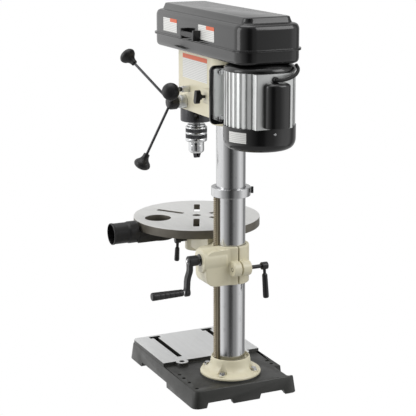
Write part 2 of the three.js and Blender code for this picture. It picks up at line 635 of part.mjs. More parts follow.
function chuckSleeve() {
  const { sleeve, sleeveBottom: z0, sleeveTop: z1 } = CHUCK;
  return revolve([[25, z0 + 4], [25, z0], [sleeve - 2, z0], [sleeve, z0 + 2], [sleeve, z1 - 2],
    [sleeve - 2, z1],
    [24, z1], [24, z1 - 4]], 40, true);
}

function chuckJaw(angle) {
  const reach = 14;
  const half = Math.tan(radians(59)) * reach;
  const sector = prism(polygon([[0.35, 0], [reach, -half], [reach * 3, 0], [reach, half]]),
    CHUCK.jawTip, 640);
  return common(jawBore(angle, JAW.radius, JAW.length), sector.rotateZ(radians(angle)));
}

// ---------------------------------------------------------------- feed (about the pinion's axis)

// The pinion is turned by half a tooth, so that a tooth meets each gap of the quill's rack.
function feedShaft() {
  const half = radians(180 / FEED.teeth);
  const pinion = gear(FEED.teeth, -QUILL.rackHalf + 0.4, QUILL.rackHalf - 0.4).rotateZ(half);
  return alongX(join(pinion, rod(8.7, -62, 84, 20)));
}

const springCase = () => alongX(cut(
  revolve([[0, -68], [24, -68], [26, -66], [26, -47], [0, -47]], 28),
  hole(9, -63, -46, 20),
  ringTube(23, 12, -64.5, -46, 20)));

const depthDial = () => alongX(revolve(
  [[9, 47], [17, 47], [17, 62], [15.5, 63], [15.5, 68.5], [9, 68.5]], 32, true));

function feedHub() {
  const { hubStart: a, hubEnd: b } = FEED;
  const hub = revolve([[0, a], [15, a], [18.5, a + 3], [18.5, b - 8], [14, b - 2], [8, b], [0, b]], 28);
  const sockets = [0, 1, 2].map((i) => spokeFrame(hole(SPOKE.radius + GAP, 8, 40, 12), i));
  return cut(alongX(hub), alongX(hole(9, a - 1, 84.5, 20)), ...sockets);
}

// Carries a piece from the Z axis to spoke number i: leaning outwards from the shaft's axis.
function spokeFrame(geometry, i) {
  const leaned = geometry.rotateY(radians(90 - SPOKE.cone)).translate(SPOKE.root, 0, 0);
  return leaned.rotateX(radians(SPOKE.phase + 120 * i - 90));
}

const feedSpoke = (i) => spokeFrame(rod(SPOKE.radius, SPOKE.start, SPOKE.end, 12), i);

function feedKnob(i) {
  const { start, length, radius } = KNOB;
  const body = revolve([[0, start], [7.5, start], [8, start + 1], [8.6, start + 9], [12, start + 16],
    [19, start + 23],
    [radius, start + 28], [radius, start + 32], [18, start + 37.5], [10, start + length - 1.5],
    [0, start + length]], 24);
  return spokeFrame(cut(body, hole(SPOKE.radius + GAP, start - 1, SPOKE.end + 1, 12)), i);
}

function tensionKnob() {
  const grip = prismAlongX(roundedShape(-7, 7, -17, 17, 6.5), 86, 98, 5).rotateX(radians(-14));
  return moved(join(grip, alongX(rod(8, 82, 88, 16)), alongX(rod(4, 68.5, 90, 12))), 0, 3, HEAD.barZ);
}

// ---------------------------------------------------------------- switch

const switchPlate = () => cut(
  prismAlongY(roundedShape(-22, 22, 765, 833, 4), -256, -252 - GAP, 4),
  block(-10, 10, -260, -250, 782, 816));

const switchPaddle = () => join(
  prismAlongY(roundedShape(-9.4, 9.4, 783, 815, 3), -263, -254, 3),
  block(-7, 7, -268, -262, 787, 800));

// ---------------------------------------------------------------- belt drive

// Stepped pulley; radii are listed from the lowest step up.
function stepPulley(radii, boreRadius, hubBottom) {
  const { bottom, step, groove } = PULLEY;
  const profile = [[boreRadius, hubBottom], [18, hubBottom], [18, bottom]];
  radii.forEach((r, i) => {
    const z = bottom + i * step;
    profile.push([r, z], [r - groove, z + 4.6], [r - groove, z + 11.4], [r, z + step]);
  });
  profile.push([boreRadius, bottom + radii.length * step]);
  return revolve(profile, 24, true);
}

const stepsDown = [0, 1, 2, 3].map((i) => PULLEY.large - i * PULLEY.stepDown);
const stepsUp = [...stepsDown].reverse();

// Outline of a loop round two circles on the Y axis.
function loopOutline(y1, r1, y2, r2) {
  const lean = Math.asin((r2 - r1) / Math.abs(y2 - y1));
  const points = [];
  const sides = 16;
  for (let i = 0; i <= sides; i += 1) {
    const angle = Math.PI + lean + (Math.PI - 2 * lean) * i / sides;
    points.push([r1 * Math.cos(angle), y1 + r1 * Math.sin(angle)]);
  }
  for (let i = 0; i <= sides; i += 1) {
    const angle = -lean + (Math.PI + 2 * lean) * i / sides;
    points.push([r2 * Math.cos(angle), y2 + r2 * Math.sin(angle)]);
  }
  return points;
}

function belt(y1, r1, y2, r2, level) {
  const inner = PULLEY.groove - 0.8;
  const z = PULLEY.bottom + level * PULLEY.step + 5;
  const shape = polygon(loopOutline(y1, r1 - inner + BELT.thickness, y2, r2 - inner + BELT.thickness));
  shape.holes.push(polygon(loopOutline(y1, r1 - inner, y2, r2 - inner)));
  return prism(shape, z, z + BELT.height);
}

// ---------------------------------------------------------------- belt guard

function coverRing(inset, z) {
  const { halfWidth: w, front, back, corner } = COVER;
  const points = outline(-w + inset, w - inset, front + inset, back - inset, Math.max(corner - inset, 6));
  return { points, z };
}

const hingeSpots = [-200, 110];

function knuckles(offset) {
  const { x, z, pin, knuckle } = HINGE;
  return hingeSpots.map((y) => cut(
    moved(alongY(rod(knuckle, 0, 19, 20)), x, y + offset, z),
    moved(alongY(hole(pin + GAP, -1, 20, 16)), x, y + offset, z)));
}

function guardTray() {
  const { bottom, seam } = COVER;
  const rim = seam - GAP;
  const outer = loft([coverRing(8, bottom), coverRing(4, bottom + 1.5), coverRing(1.2, bottom + 5),
    coverRing(0, bottom + 11), coverRing(0, rim)]);
  const lip = loft([coverRing(-5, rim - 2.6), coverRing(-5, rim)]);
  const ears = hingeSpots.map((y) => block(HINGE.x, -84, y, y + 19, HINGE.z - 5, rim));
  const inner = loft([coverRing(9, bottom + 3), coverRing(4, bottom + 6), coverRing(3, bottom + 12),
    coverRing(3, rim + 1)]);
  const lidRoom = hingeSpots.map((y) => block(-98, -86.2, y + 19 + GAP, y + 40, rim - 8, rim + 1));
  const pinRoom = hingeSpots
    .map((y) => moved(alongY(hole(HINGE.pin + GAP, -1, 20, 16)), HINGE.x, y, HINGE.z));
  return cut(join(outer, lip, ...ears, ...knuckles(0)), inner, ...lidRoom, ...pinRoom,
    moved(rod(26, bottom - 1, bottom + 8, 24), 0, SPINDLE_Y, 0),
    prism(roundedShape(-30, 30, MOTOR_Y - 48, MOTOR_Y + 40, 28), bottom - 1, bottom + 8, 6));
}

function guardLid() {
  const { seam, top } = COVER;
  const outer = loft([coverRing(0, seam), coverRing(0, top - 31), coverRing(0.8, top - 25),
    coverRing(3.5, top - 19.5),
    coverRing(8, top - 16.5), coverRing(14, top - 15.5), coverRing(18, top - 14.5), coverRing(21, top - 5),
    coverRing(23.5, top - 1.2), coverRing(27, top)]);
  const lip = loft([coverRing(-5, seam), coverRing(-5, seam + 2.6)]);
  const ears = hingeSpots.map((y) => block(HINGE.x, -84, y + 19.5, y + 38.5, seam, HINGE.z + 5));
  const inner = loft([coverRing(3, seam - 1), coverRing(3, top - 31), coverRing(8, top - 20),
    coverRing(21, top - 17.5),
    coverRing(24, top - 4), coverRing(27, top - 3)]);
  const trayRoom = hingeSpots.map((y) => block(-98, -86.2, y - GAP - 1, y + 19 + GAP, seam - 1, seam + 9));
  const pinRoom = hingeSpots
    .map((y) => moved(alongY(hole(HINGE.pin + GAP, 18, 40, 16)), HINGE.x, y, HINGE.z));
  return cut(join(outer, lip, ...ears, ...knuckles(19.5)), inner, ...trayRoom, ...pinRoom);
}

const hingePin = (y) => moved(alongY(revolve([[0, -2], [4.5, -2], [4.5, -0.4], [HINGE.pin, -0.4],
  [HINGE.pin, 39],
  [0, 39]], 16)), HINGE.x, y, HINGE.z);

// Pull handle on the lid: a bar between two flared ends.
function lidPull() {
  const wall = COVER.halfWidth + GAP;
  const z = 906;
  const flare = (y0, y1, lean) => prismAlongX(
    polygon([[y0, z - 12], [y1, z - 12], [y1 + lean, z + 13], [y0 + lean, z + 13]]), wall, wall + 19);
  const bar = prismAlongY(roundedShape(wall + 9, wall + 19, z - 6, z + 7, 4), -72, -6, 4);
  return join(flare(-78, -69, -2), flare(-9, 0, 2), bar);
}

// ---------------------------------------------------------------- motor (about its own axis)

function motorHousing() {
  const { radius, bodyBottom, bodyTop, ribs, ribDepth, flatBack, plateBack } = MOTOR;
  const points = [];
  for (let i = 0; i < ribs; i += 1) {
    for (const [share, depth] of [[0.05, ribDepth], [0.3, ribDepth], [0.42, 0], [0.92, 0]]) {
      const angle = TAU * (i + share) / ribs;
      points.push([(radius - depth) * Math.cos(angle), (radius - depth) * Math.sin(angle)]);
    }
  }
  const body = prism(polygon(points), bodyBottom, bodyTop);
  const flat = prism(roundedShape(-43, 52, 40, flatBack, 3), bodyBottom, bodyTop, 3);
  const footY = plateBack + GAP - MOTOR_Y;
  const foot = prismAlongY(roundedShape(-78, 78, bodyBottom, 835, 5), footY, footY + 9, 3);
  const webs = [-1, 1].map((side) => block(side * 44 - 5, side * 44 + 5,
    footY + 2, -50, bodyBottom, bodyTop));
  const footHoles = [-62, 62].flatMap((x) => [716, 827].map((z) => moved(
    alongY(rod(4.5, footY - 1, footY + 12, 10)), x, 0, z)));
  return cut(join(body, flat, foot, ...webs), rod(70, bodyBottom - 1, bodyTop + 1, 32), ...footHoles);
}

function motorTopBell() {
  const { bodyTop, top } = MOTOR;
  const z = bodyTop + GAP;
  return revolve([[10, z], [84.5, z], [84.5, z + 5], [81, z + 11], [72, z + 15.5], [60, top], [10, top]],
    56, true);
}

function motorBottomBell() {
  const { bottom, bodyBottom } = MOTOR;
  const z = bodyBottom - GAP;
  return revolve([[66, z], [66, bottom + 8], [0, bottom + 6], [0, bottom], [58, bottom], [72, bottom + 2],
    [80, bottom + 8], [84.5, bottom + 17], [85.5, bottom + 26], [85.5, z]], 56, true);
}

const motorRotor = () => revolve([[0, 668], [8, 668], [8, 722], [44, 722], [44, 826], [9.5, 826],
  [9.5, 938], [0, 938]],
  24);

// Cover of the capacitor: a can of half-oval section with a domed cap, on the motor's flat.
function capacitorCover() {
  const y0 = MOTOR.flatBack + GAP;
  const section = (inset) => {
    const points = [];
    for (let i = 0; i <= 18; i += 1) {
      const angle = Math.PI * i / 18;
      points.push([1.5 + (31.5 - inset) * Math.cos(angle), y0 + 5 + (23 - inset) * Math.sin(angle) ** 0.8]);
    }
    return [[33 - inset, y0], ...points, [inset - 30, y0]];
  };
  return loft([{ points: section(2), z: 716 }, { points: section(0), z: 718 }, { points: section(0), z: 810 },
    { points: section(2), z: 815 }, { points: section(6), z: 818.5 }, { points: section(12), z: 820 }]);
}

const motorPlate = () => cut(
  prismAlongY(roundedShape(-84, 84, 700, 841, 14), MOTOR.plateFront, MOTOR.plateBack, 5),
  ...[-62, 62].flatMap((x) => [716, 827].map((z) => moved(alongY(rod(4.5, 45, 65, 10)), x, 0, z))));

const slideBar = (side) => moved(
  alongY(revolve([[0, -10], [7.5, -10], [HEAD.barRadius, -8.5], [HEAD.barRadius, MOTOR.plateFront - GAP],
    [0, MOTOR.plateFront - GAP]], 20)), side * HEAD.barX, 0, HEAD.barZ);

// Route of the motor's lead, from its gland to the underside of the belt guard.
const LEAD = [[4, 236.6, 826], [3, 245, 826], [-6, 249, 826], [-24, 248, 828.5],
  [-42, 243.5, 834], [-55, 233, 840],
  [-62, 223, 846.5], [-64.5, 213, 850.5], [-65, 208, 853.2]];

const motorLead = () => tube(LEAD, 4, 8, 26);

// ---------------------------------------------------------------- assembly

const drillPress = new THREE.Group();

const base = group(drillPress);
part(base, 'base_casting', baseCasting(), 'casting');
part(base, 'column_flange', columnFlange(), 'cream');
part(base, 'column_tube', columnTube(), 'steel');
part(base, 'lift_rack', rackBar(), 'iron');
part(base, 'rack_collar', rackCollar(), 'steel');
part(base, 'collar_set_screw', collarSetScrew(), 'plastic');

const lift = group(drillPress);
part(lift, 'table_bracket', tableBracket(), 'cream');
part(lift, 'lift_pinion', liftPinion(), 'dark');
part(lift, 'crank_shaft', crankShaft(), 'steel');
part(lift, 'crank_arm', crankArm(), 'plastic');
part(lift, 'crank_grip_pin', crankGripPin(), 'steel');
part(lift, 'crank_grip', crankGrip(), 'plastic');
part(lift, 'column_lock_lever', columnLockLever(), 'plastic');
part(lift, 'tilt_bolt', tiltBolt(), 'steel');

const table = group(drillPress, 0, SPINDLE_Y, 0);
part(table, 'table_arm', tableArm(), 'cream');
part(table, 'table_plate', tablePlate(), 'ground');
part(table, 'dust_port', dustPort(), 'plastic');
part(table, 'table_lock_handle', tableLockHandle(), 'plastic');

const head = group(drillPress);
part(head, 'head_casting', headCasting(), 'cream');
part(head, 'tension_knob', tensionKnob(), 'plastic');
part(head, 'switch_plate', switchPlate(), 'plastic');
part(head, 'switch_paddle', switchPaddle(), 'red');

const spindle = group(drillPress, 0, SPINDLE_Y, 0);
part(spindle, 'quill_guide_collar', guideCollar(), 'dark');
part(spindle, 'quill_tube', quillTube(), 'steel');
part(spindle, 'spindle_shaft', spindleShaft(), 'steel');
part(spindle, 'chuck_body', chuckBody(), 'chrome');
part(spindle, 'chuck_sleeve', chuckSleeve(), 'chrome');
jawAngles.forEach((angle, i) => part(spindle, `chuck_jaw_${i + 1}`, chuckJaw(angle), 'dark'));
part(spindle, 'spindle_pulley', stepPulley(stepsDown, 7.9, 862), 'aluminium');

const feed = group(drillPress, 0, FEED.y, FEED.z);
part(feed, 'feed_pinion_shaft', feedShaft(), 'steel');
part(feed, 'return_spring_case', springCase(), 'dark');
part(feed, 'depth_dial', depthDial(), 'steel');
part(feed, 'feed_hub', feedHub(), 'plastic');
for (let i = 0; i < 3; i += 1) {
  part(feed, `feed_spoke_${i + 1}`, feedSpoke(i), 'dark');
  part(feed, `feed_knob_${i + 1}`, feedKnob(i), 'plastic');
}

const drive = group(drillPress);
const idler = group(drive, 0, IDLER_Y, 0);
part(idler, 'idler_pulley', stepPulley(stepsUp, 8.3, 864), 'aluminium');
part(idler, 'idler_post', revolve([[0, 860.7], [20, 860.7], [20, 863], [8, 863], [8, 938], [0, 938]], 28),
  'steel');
part(drive, 'front_belt', belt(SPINDLE_Y, stepsDown[1], IDLER_Y, stepsUp[1], 1), 'rubber');
part(drive, 'rear_belt', belt(IDLER_Y, stepsUp[3], MOTOR_Y, stepsDown[3], 3), 'rubber');

const guard = group(drillPress);
part(guard, 'belt_guard_tray', guardTray(), 'black');
part(guard, 'belt_guard_lid', guardLid(), 'black');
part(guard, 'lid_pull', lidPull(), 'plastic');
hingeSpots.forEach((y, i) => part(guard, `hinge_pin_${i + 1}`, hingePin(y), 'steel'));

const motor = group(drillPress, 0, MOTOR_Y, 0);
part(motor, 'motor_housing', motorHousing(), 'aluminium');
part(motor, 'motor_top_bell', motorTopBell(), 'black');
part(motor, 'motor_bottom_bell', motorBottomBell(), 'black');
part(motor, 'motor_rotor', motorRotor(), 'steel');
part(motor, 'motor_pulley', stepPulley(stepsDown, 9.8, 864), 'aluminium');
part(motor, 'capacitor_cover', capacitorCover(), 'black');
part(drillPress, 'motor_plate', motorPlate(), 'black');
part(drillPress, 'slide_bar_right', slideBar(1), 'steel');
part(drillPress, 'slide_bar_left', slideBar(-1), 'steel');
part(drillPress, 'motor_lead', motorLead(), 'rubber');

export default drillPress;
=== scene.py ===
"""Looks of a bench drill press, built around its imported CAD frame.

Shapes are drawn in millimetres in the machine's frame and stored in metres: +Z up, the operator
on the -Y side, the column's axis at x = y = 0 and the bench at z = 0.
"""
import json
import math

import bmesh
import bpy
from mathutils import Matrix, Vector


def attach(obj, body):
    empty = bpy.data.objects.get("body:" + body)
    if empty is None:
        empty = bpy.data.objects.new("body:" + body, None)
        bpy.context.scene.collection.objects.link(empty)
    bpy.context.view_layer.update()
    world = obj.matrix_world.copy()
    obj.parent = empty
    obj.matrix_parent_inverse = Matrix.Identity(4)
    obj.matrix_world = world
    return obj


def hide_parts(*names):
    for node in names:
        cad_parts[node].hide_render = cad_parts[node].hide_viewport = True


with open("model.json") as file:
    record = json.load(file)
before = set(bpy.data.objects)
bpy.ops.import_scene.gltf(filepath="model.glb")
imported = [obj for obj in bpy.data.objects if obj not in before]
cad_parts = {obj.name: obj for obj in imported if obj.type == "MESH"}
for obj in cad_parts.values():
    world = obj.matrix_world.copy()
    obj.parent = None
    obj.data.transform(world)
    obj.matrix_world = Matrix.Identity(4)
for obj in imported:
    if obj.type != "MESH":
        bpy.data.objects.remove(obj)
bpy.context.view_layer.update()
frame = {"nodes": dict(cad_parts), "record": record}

MM = 0.001
TAU = 2 * math.pi

# ------------------------------------------------------------------ driving dimensions, millimetres

COLUMN_RADIUS = 36.5
COLUMN_WALL = 4
SPINDLE_Y = -204.5
MOTOR_Y = 152
IDLER_Y = -42
FEED_Y, FEED_Z = -170.8, 722
CRANK_Y, CRANK_Z, CRANK_THROW = 14, 356, 78
TILT_Z = 340
COVER = {"half": 82, "front": -300, "back": 220, "corner": 40, "bottom": 857.3, "seam": 889.8, "top": 965}
HINGE_X, HINGE_Z = -92, 889.8
HINGE_SPOTS = (-200, 110)
PULLEY_BOTTOM, PULLEY_STEP, PULLEY_GROOVE = 868, 16, 6.8
STEPS_DOWN = (58, 50, 42, 34)
STEPS_UP = STEPS_DOWN[::-1]
TABLE_RADIUS, TABLE_TOP, TABLE_BOTTOM, TABLE_WEB = 165.5, 412, 389.5, 399
BIG_HOLE_AT, BIG_HOLE_ANGLE, BIG_HOLE = 105, -8.5, 34
MOTOR_RADIUS, BODY_BOTTOM, BODY_TOP = 83.5, 712, 839
SPOKE_CONE, SPOKE_PHASE, SPOKE_ROOT = 67.6, 138.7, 86
BAR_X, BAR_Z = 59, 760
BAR_PITCH = 4.2  # between the grey bars on a label
AXIS = 0.01  # the radius that stands for the axis in a turned profile
FLANGE_BOLTS = [(62 * math.cos(math.radians(a)), 62 * math.sin(math.radians(a))) for a in (45, 135, 225, 315)]
MOTOR_BOLTS = [(x, z) for x in (-62, 62) for z in (716, 827)]
LEAD = [(4, 236.6, 826), (3, 245, 826), (-6, 249, 826), (-24, 248, 828.5), (-42, 243.5, 834),
        (-55, 233, 840), (-62, 223, 846.5), (-64.5, 213, 850.5), (-65, 208, 853.2)]


# ------------------------------------------------------------------ camera and light

def camera():
    data = bpy.data.cameras.new("camera")
    data.sensor_width = 36
    data.lens = 114.5
    data.shift_x = -0.02
    data.shift_y = -0.066
    cam = bpy.data.objects.new("camera", data)
    cam.location = (1.4031, 2.8697, 1.2456)
    yaw, pitch = math.radians(25.41), math.radians(-12.37)
    look = Vector((-math.sin(yaw) * math.cos(pitch), -math.cos(yaw) * math.cos(pitch), math.sin(pitch)))
    cam.rotation_mode = "QUATERNION"
    cam.rotation_quaternion = look.to_track_quat("-Z", "Y")
    bpy.context.scene.collection.objects.link(cam)
    bpy.context.scene.camera = cam


def area_light(name, place, aim, size, power):
    data = bpy.data.lights.new(name, "AREA")
    data.shape = "RECTANGLE"
    data.size, data.size_y = size
    data.energy = power
    lamp = bpy.data.objects.new(name, data)
    lamp.location = place
    lamp.rotation_mode = "QUATERNION"
    lamp.rotation_quaternion = (Vector(aim) - Vector(place)).to_track_quat("-Z", "Y")
    bpy.context.scene.collection.objects.link(lamp)


# Brightness of the surroundings that shiny surfaces mirror, by azimuth in degrees from the camera's
# side, positive towards +X: white screens on both sides with dark gaps between them.
SCREENS = ((-180, 0.6), (-150, 0.45), (-121, 0.2), (-104, 0.85), (-76, 1.05), (-58, 0.7), (-44, 0.38),
    (-24, 0.3), (-12, 0.07), (5, 0.03), (19, 0.2), (34, 0.42), (50, 0.62), (66, 1.05), (90, 1.2),
    (140, 1.2), (160, 0.7), (180, 0.6))
CAMERA_AZIMUTH = 25.9
# How far up or down, as the sine of the elevation, the screens reach.
OVERHEAD, BELOW = 0.72, -0.55


def new_node(tree, kind, **settings):
    made = tree.nodes.new(kind)
    for key, value in settings.items():
        setattr(made, key, value)
    return made


def new_maths(tree, operation, values):
    """A math node whose inputs are plain numbers or other nodes' outputs."""
    made = new_node(tree, "ShaderNodeMath", operation=operation)
    for socket, value in zip(made.inputs, values):
        if isinstance(value, (int, float)):
            socket.default_value = value
        else:
            tree.links.new(value, socket)
    return made.outputs[0]


def studio():
    """A white backdrop for the camera, with striped screens all round that light the machine."""
    world = bpy.data.worlds.new("studio")
    world.use_nodes = True
    tree = world.node_tree

    def node(kind):
        return new_node(tree, kind)

    def maths(operation, *values):
        return new_maths(tree, operation, values)

    def blend(factor, first, second):
        return maths("ADD", maths("MULTIPLY", first, maths("SUBTRACT", 1, factor)),
            maths("MULTIPLY", second, factor))

    direction = node("ShaderNodeSeparateXYZ")
    tree.links.new(node("ShaderNodeTexCoord").outputs["Generated"], direction.inputs["Vector"])
    x, y, z = direction.outputs
    turn = maths("SUBTRACT", maths("ARCTAN2", x, y), math.radians(CAMERA_AZIMUTH))
    share = maths("FRACT", maths("ADD", maths("DIVIDE", turn, TAU), 1.5))
    ramp = node("ShaderNodeValToRGB")
    stops = ramp.color_ramp.elements
    for stop, (angle, grey) in zip(stops, (SCREENS[0], SCREENS[-1])):
        stop.position = (angle + 180) / 360
        stop.color = (grey, grey, grey, 1)
    for angle, grey in SCREENS[1:-1]:
        stops.new((angle + 180) / 360).color = (grey, grey, grey, 1)
    tree.links.new(share, ramp.inputs["Fac"])
    sides = node("ShaderNodeRGBToBW")
    tree.links.new(ramp.outputs["Color"], sides.inputs["Color"])
    overhead = maths("GREATER_THAN", z, OVERHEAD)
    below = maths("LESS_THAN", z, BELOW)
    mirrored = blend(below, blend(overhead, sides.outputs[0], 0.9), 0.5)
    path = node("ShaderNodeLightPath")
    strength = blend(path.outputs["Is Camera Ray"], mirrored, 1.0)
    backdrop = tree.nodes["Background"]
    backdrop.inputs["Color"].default_value = (1, 1, 1, 1)
    tree.links.new(strength, backdrop.inputs["Strength"])
    bpy.context.scene.world = world
    bpy.context.scene.view_settings.view_transform = "Standard"
    area_light("key", (-1.6, 1.9, 2.3), (0, 0, 0.5), (1.6, 1.6), 26)
    area_light("side", (2.6, -0.4, 1.5), (0, 0, 0.5), (1.2, 2.0), 17)
    area_light("top", (0.1, -0.3, 2.6), (0, -0.1, 0.4), (1.4, 1.4), 11)


camera()
studio()


# ------------------------------------------------------------------ materials

def linear(*rgb):
    """A screen colour from 0 to 255 as the shader's linear colour."""
    return (*[((c / 255 + 0.055) / 1.055) ** 2.4 if c > 10 else c / 255 / 12.92 for c in rgb], 1)


class Shader:
    """A node tree builder for one procedural material."""

    def __init__(self, name):
        self.material = bpy.data.materials.new(name)
        self.material.use_nodes = True
        self.tree = self.material.node_tree
        self.main = self.tree.nodes["Principled BSDF"]
        self.place = self.node("ShaderNodeTexCoord").outputs["Object"]

    def node(self, kind, **settings):
        return new_node(self.tree, kind, **settings)

    def maths(self, operation, *values):
        return new_maths(self.tree, operation, values)

    def axis(self, vector, letter):
        made = self.node("ShaderNodeSeparateXYZ")
        self.link(vector, made.inputs["Vector"])
        return made.outputs[letter]

    def link(self, source, target):
        self.tree.links.new(source, target)

    def noise(self, scale, detail=4, rough=0.6, stretch=(1, 1, 1), distortion=0.0):
        mapping = self.node("ShaderNodeMapping")
        mapping.inputs["Scale"].default_value = stretch
        self.link(self.place, mapping.inputs["Vector"])
        made = self.node("ShaderNodeTexNoise")
        made.inputs["Scale"].default_value = scale
        made.inputs["Detail"].default_value = detail
        made.inputs["Roughness"].default_value = rough
        made.inputs["Distortion"].default_value = distortion
        self.link(mapping.outputs["Vector"], made.inputs["Vector"])
        return made.outputs["Fac"]

    def span(self, value, from_min, from_max, to_min, to_max):
        made = self.node("ShaderNodeMapRange")
        for key, number in (("From Min", from_min), ("From Max", from_max), ("To Min", to_min),
                ("To Max", to_max)):
            made.inputs[key].default_value = number
        self.link(value, made.inputs["Value"])
        return made.outputs["Result"]

    def mix(self, factor, first, second):
        made = self.node("ShaderNodeMix", data_type="RGBA")
        self.link(factor, made.inputs["Factor"])
        for socket, colour in (("A", first), ("B", second)):
            target = [s for s in made.inputs if s.name == socket and s.type == "RGBA"][0]
            if isinstance(colour, tuple):
                target.default_value = colour
            else:
                self.link(colour, target)
        return [s for s in made.outputs if s.type == "RGBA"][0]

    def edges(self, radius, low=0.02, high=0.2):
        """1 on sharp outer edges, broken up by noise, and 0 on flats."""
        bevel = self.node("ShaderNodeBevel", samples=4)
        bevel.inputs["Radius"].default_value = radius * MM
        surface = self.node("ShaderNodeNewGeometry")
        dot = self.node("ShaderNodeVectorMath", operation="DOT_PRODUCT")
        self.link(bevel.outputs["Normal"], dot.inputs[0])
        self.link(surface.outputs["Normal"], dot.inputs[1])
        edge = self.span(dot.outputs["Value"], 1 - low, 1 - high, 0, 1)
        patchy = self.span(self.noise(160, 3), 0.45, 0.62, 0, 1)
        return self.maths("MULTIPLY", edge, patchy)

    def bump(self, height, distance, strength=1.0):
        made = self.node("ShaderNodeBump")
        made.inputs["Strength"].default_value = strength
        made.inputs["Distance"].default_value = distance * MM
        self.link(height, made.inputs["Height"])
        previous = self.main.inputs["Normal"].links
        if previous:
            self.link(previous[0].from_socket, made.inputs["Normal"])
        self.link(made.outputs["Normal"], self.main.inputs["Normal"])

    def colour(self, source):
        self.link(source, self.main.inputs["Base Color"])

    def rough(self, value, low, high):
        self.link(self.span(value, 0.3, 0.7, low, high), self.main.inputs["Roughness"])

    def fixed(self, **numbers):
        for key, number in numbers.items():
            self.main.inputs[key.replace("_", " ")].default_value = number


def cream_paint():
    s = Shader("cream_paint")
    clouds = s.noise(14, 5)
    grime = s.span(s.noise(45, 6, 0.7), 0.56, 0.75, 0, 0.35)
    base = s.mix(clouds, linear(222, 214, 184), linear(232, 226, 200))
    dirty = s.mix(grime, base, linear(184, 172, 138))
    s.colour(s.mix(s.edges(1.2), dirty, linear(148, 136, 108)))
    s.rough(clouds, 0.3, 0.42)
    s.fixed(Coat_Weight=0.25, Coat_Roughness=0.2)
    s.bump(s.noise(320, 3), 0.12, 0.5)
    s.bump(s.noise(40, 2), 0.5, 0.35)
    return s.material


def gloss_black():
    s = Shader("black_paint")
    clouds = s.noise(9, 4)
    base = s.mix(clouds, linear(14, 14, 14), linear(22, 22, 23))
    s.colour(s.mix(s.edges(1.0), base, linear(52, 52, 52)))
    s.rough(s.noise(30, 5), 0.1, 0.2)
    s.fixed(Coat_Weight=0.25, Coat_Roughness=0.06, Specular_IOR_Level=0.45)
    s.bump(s.noise(380, 2), 0.03, 0.35)
    return s.material


def base_paint():
    """Dark paint on the casting's sides, with a ground face on the raised part of the top."""
    s = Shader("base_paint")
    upward = s.span(s.axis(s.node("ShaderNodeNewGeometry").outputs["Normal"], "Z"), 0.93, 0.98, 0, 1)
    raised = s.span(s.axis(s.place, "Z"), 51.5 * MM, 51.9 * MM, 0, 1)
    ground = s.maths("MULTIPLY", upward, raised)
    clouds = s.noise(20, 5)
    paint = s.mix(clouds, linear(36, 37, 35), linear(52, 52, 49))
    worn = s.mix(s.edges(1.4), paint, linear(92, 90, 85))
    iron = s.mix(s.noise(90, 6, 0.7, (1, 0.06, 1)), linear(216, 217, 217), linear(238, 239, 239))
    s.colour(s.mix(ground, worn, iron))
    s.link(s.span(ground, 0, 1, 0, 0.5), s.main.inputs["Metallic"])
    s.rough(s.noise(24, 4), 0.3, 0.48)
    s.fixed(Specular_IOR_Level=0.5)
    s.bump(s.noise(230, 3), 0.15, 0.6)
    s.bump(s.noise(700, 2, 0.5, (1, 0.03, 1)), 0.02, 0.4)
    return s.material


def steel(name, dark, light, rough=(0.16, 0.3), stretch=(1, 1, 0.04)):
    """Ground or turned steel whose grain runs across the stretched axis."""
    s = Shader(name)
    clouds = s.noise(26, 5, 0.65, stretch)
    base = s.mix(clouds, dark, light)
    stains = s.span(s.noise(60, 5), 0.6, 0.8, 0, 0.4)
    s.colour(s.mix(stains, base, tuple(c * 0.62 for c in dark[:3]) + (1,)))
    s.rough(clouds, *rough)
    s.fixed(Metallic=1.0)
    s.bump(s.noise(420, 3, 0.6, stretch), 0.02, 0.5)
    return s.material


def table_iron():
    """A ground top over the plain cast iron of the rim, the slots and the underside."""
    s = Shader("table_iron")
    ground = s.span(s.axis(s.place, "Z"), (TABLE_TOP - 0.8) * MM, (TABLE_TOP - 0.4) * MM, 0, 1)
    swirls = s.noise(70, 6, 0.7, (1, 0.1, 1), 0.4)
    bright = s.mix(swirls, linear(212, 212, 210), linear(234, 234, 232))
    rough_iron = s.mix(s.noise(34, 5), linear(88, 84, 76), linear(118, 113, 103))
    s.colour(s.mix(ground, rough_iron, bright))
    s.link(s.span(ground, 0, 1, 0.3, 0.45), s.main.inputs["Metallic"])
    s.rough(s.noise(40, 4), 0.34, 0.46)
    s.bump(s.noise(260, 3), 0.08, 0.5)
    return s.material


def rack_steel():
    """Tan steel, with painted shade darkening it between the teeth."""
    s = Shader("rack_steel")
    tips = s.span(s.axis(s.place, "X"), 42.6 * MM, 44.9 * MM, 0, 1)
    sides = s.span(s.maths("ABSOLUTE", s.axis(s.place, "Y")), 6.6 * MM, 6.85 * MM, 0, 1)
    crest = s.maths("MAXIMUM", tips, sides)
    clouds = s.noise(40, 5)
    base = s.mix(clouds, linear(160, 148, 124), linear(196, 186, 164))
    # Painted shade: below the tooth tips and inside the side faces the colour darkens, standing in for the
    # shade in the tooth gaps.
    s.colour(s.mix(crest, linear(52, 46, 38), base))
    s.link(s.span(crest, 0, 1, 0.3, 0.85), s.main.inputs["Metallic"])
    s.rough(clouds, 0.34, 0.5)
    s.bump(s.noise(500, 3), 0.03, 0.5)
    return s.material


def plastic(name, shade, rough=(0.32, 0.46)):
    s = Shader(name)
    clouds = s.noise(30, 4)
    base = s.mix(clouds, linear(*shade), linear(*[c + 9 for c in shade]))
    s.colour(s.mix(s.edges(0.9), base, linear(*[min(c + 48, 255) for c in shade])))
    s.rough(clouds, *rough)
    s.fixed(Specular_IOR_Level=0.5)
    s.bump(s.noise(520, 3), 0.05, 0.5)
    return s.material


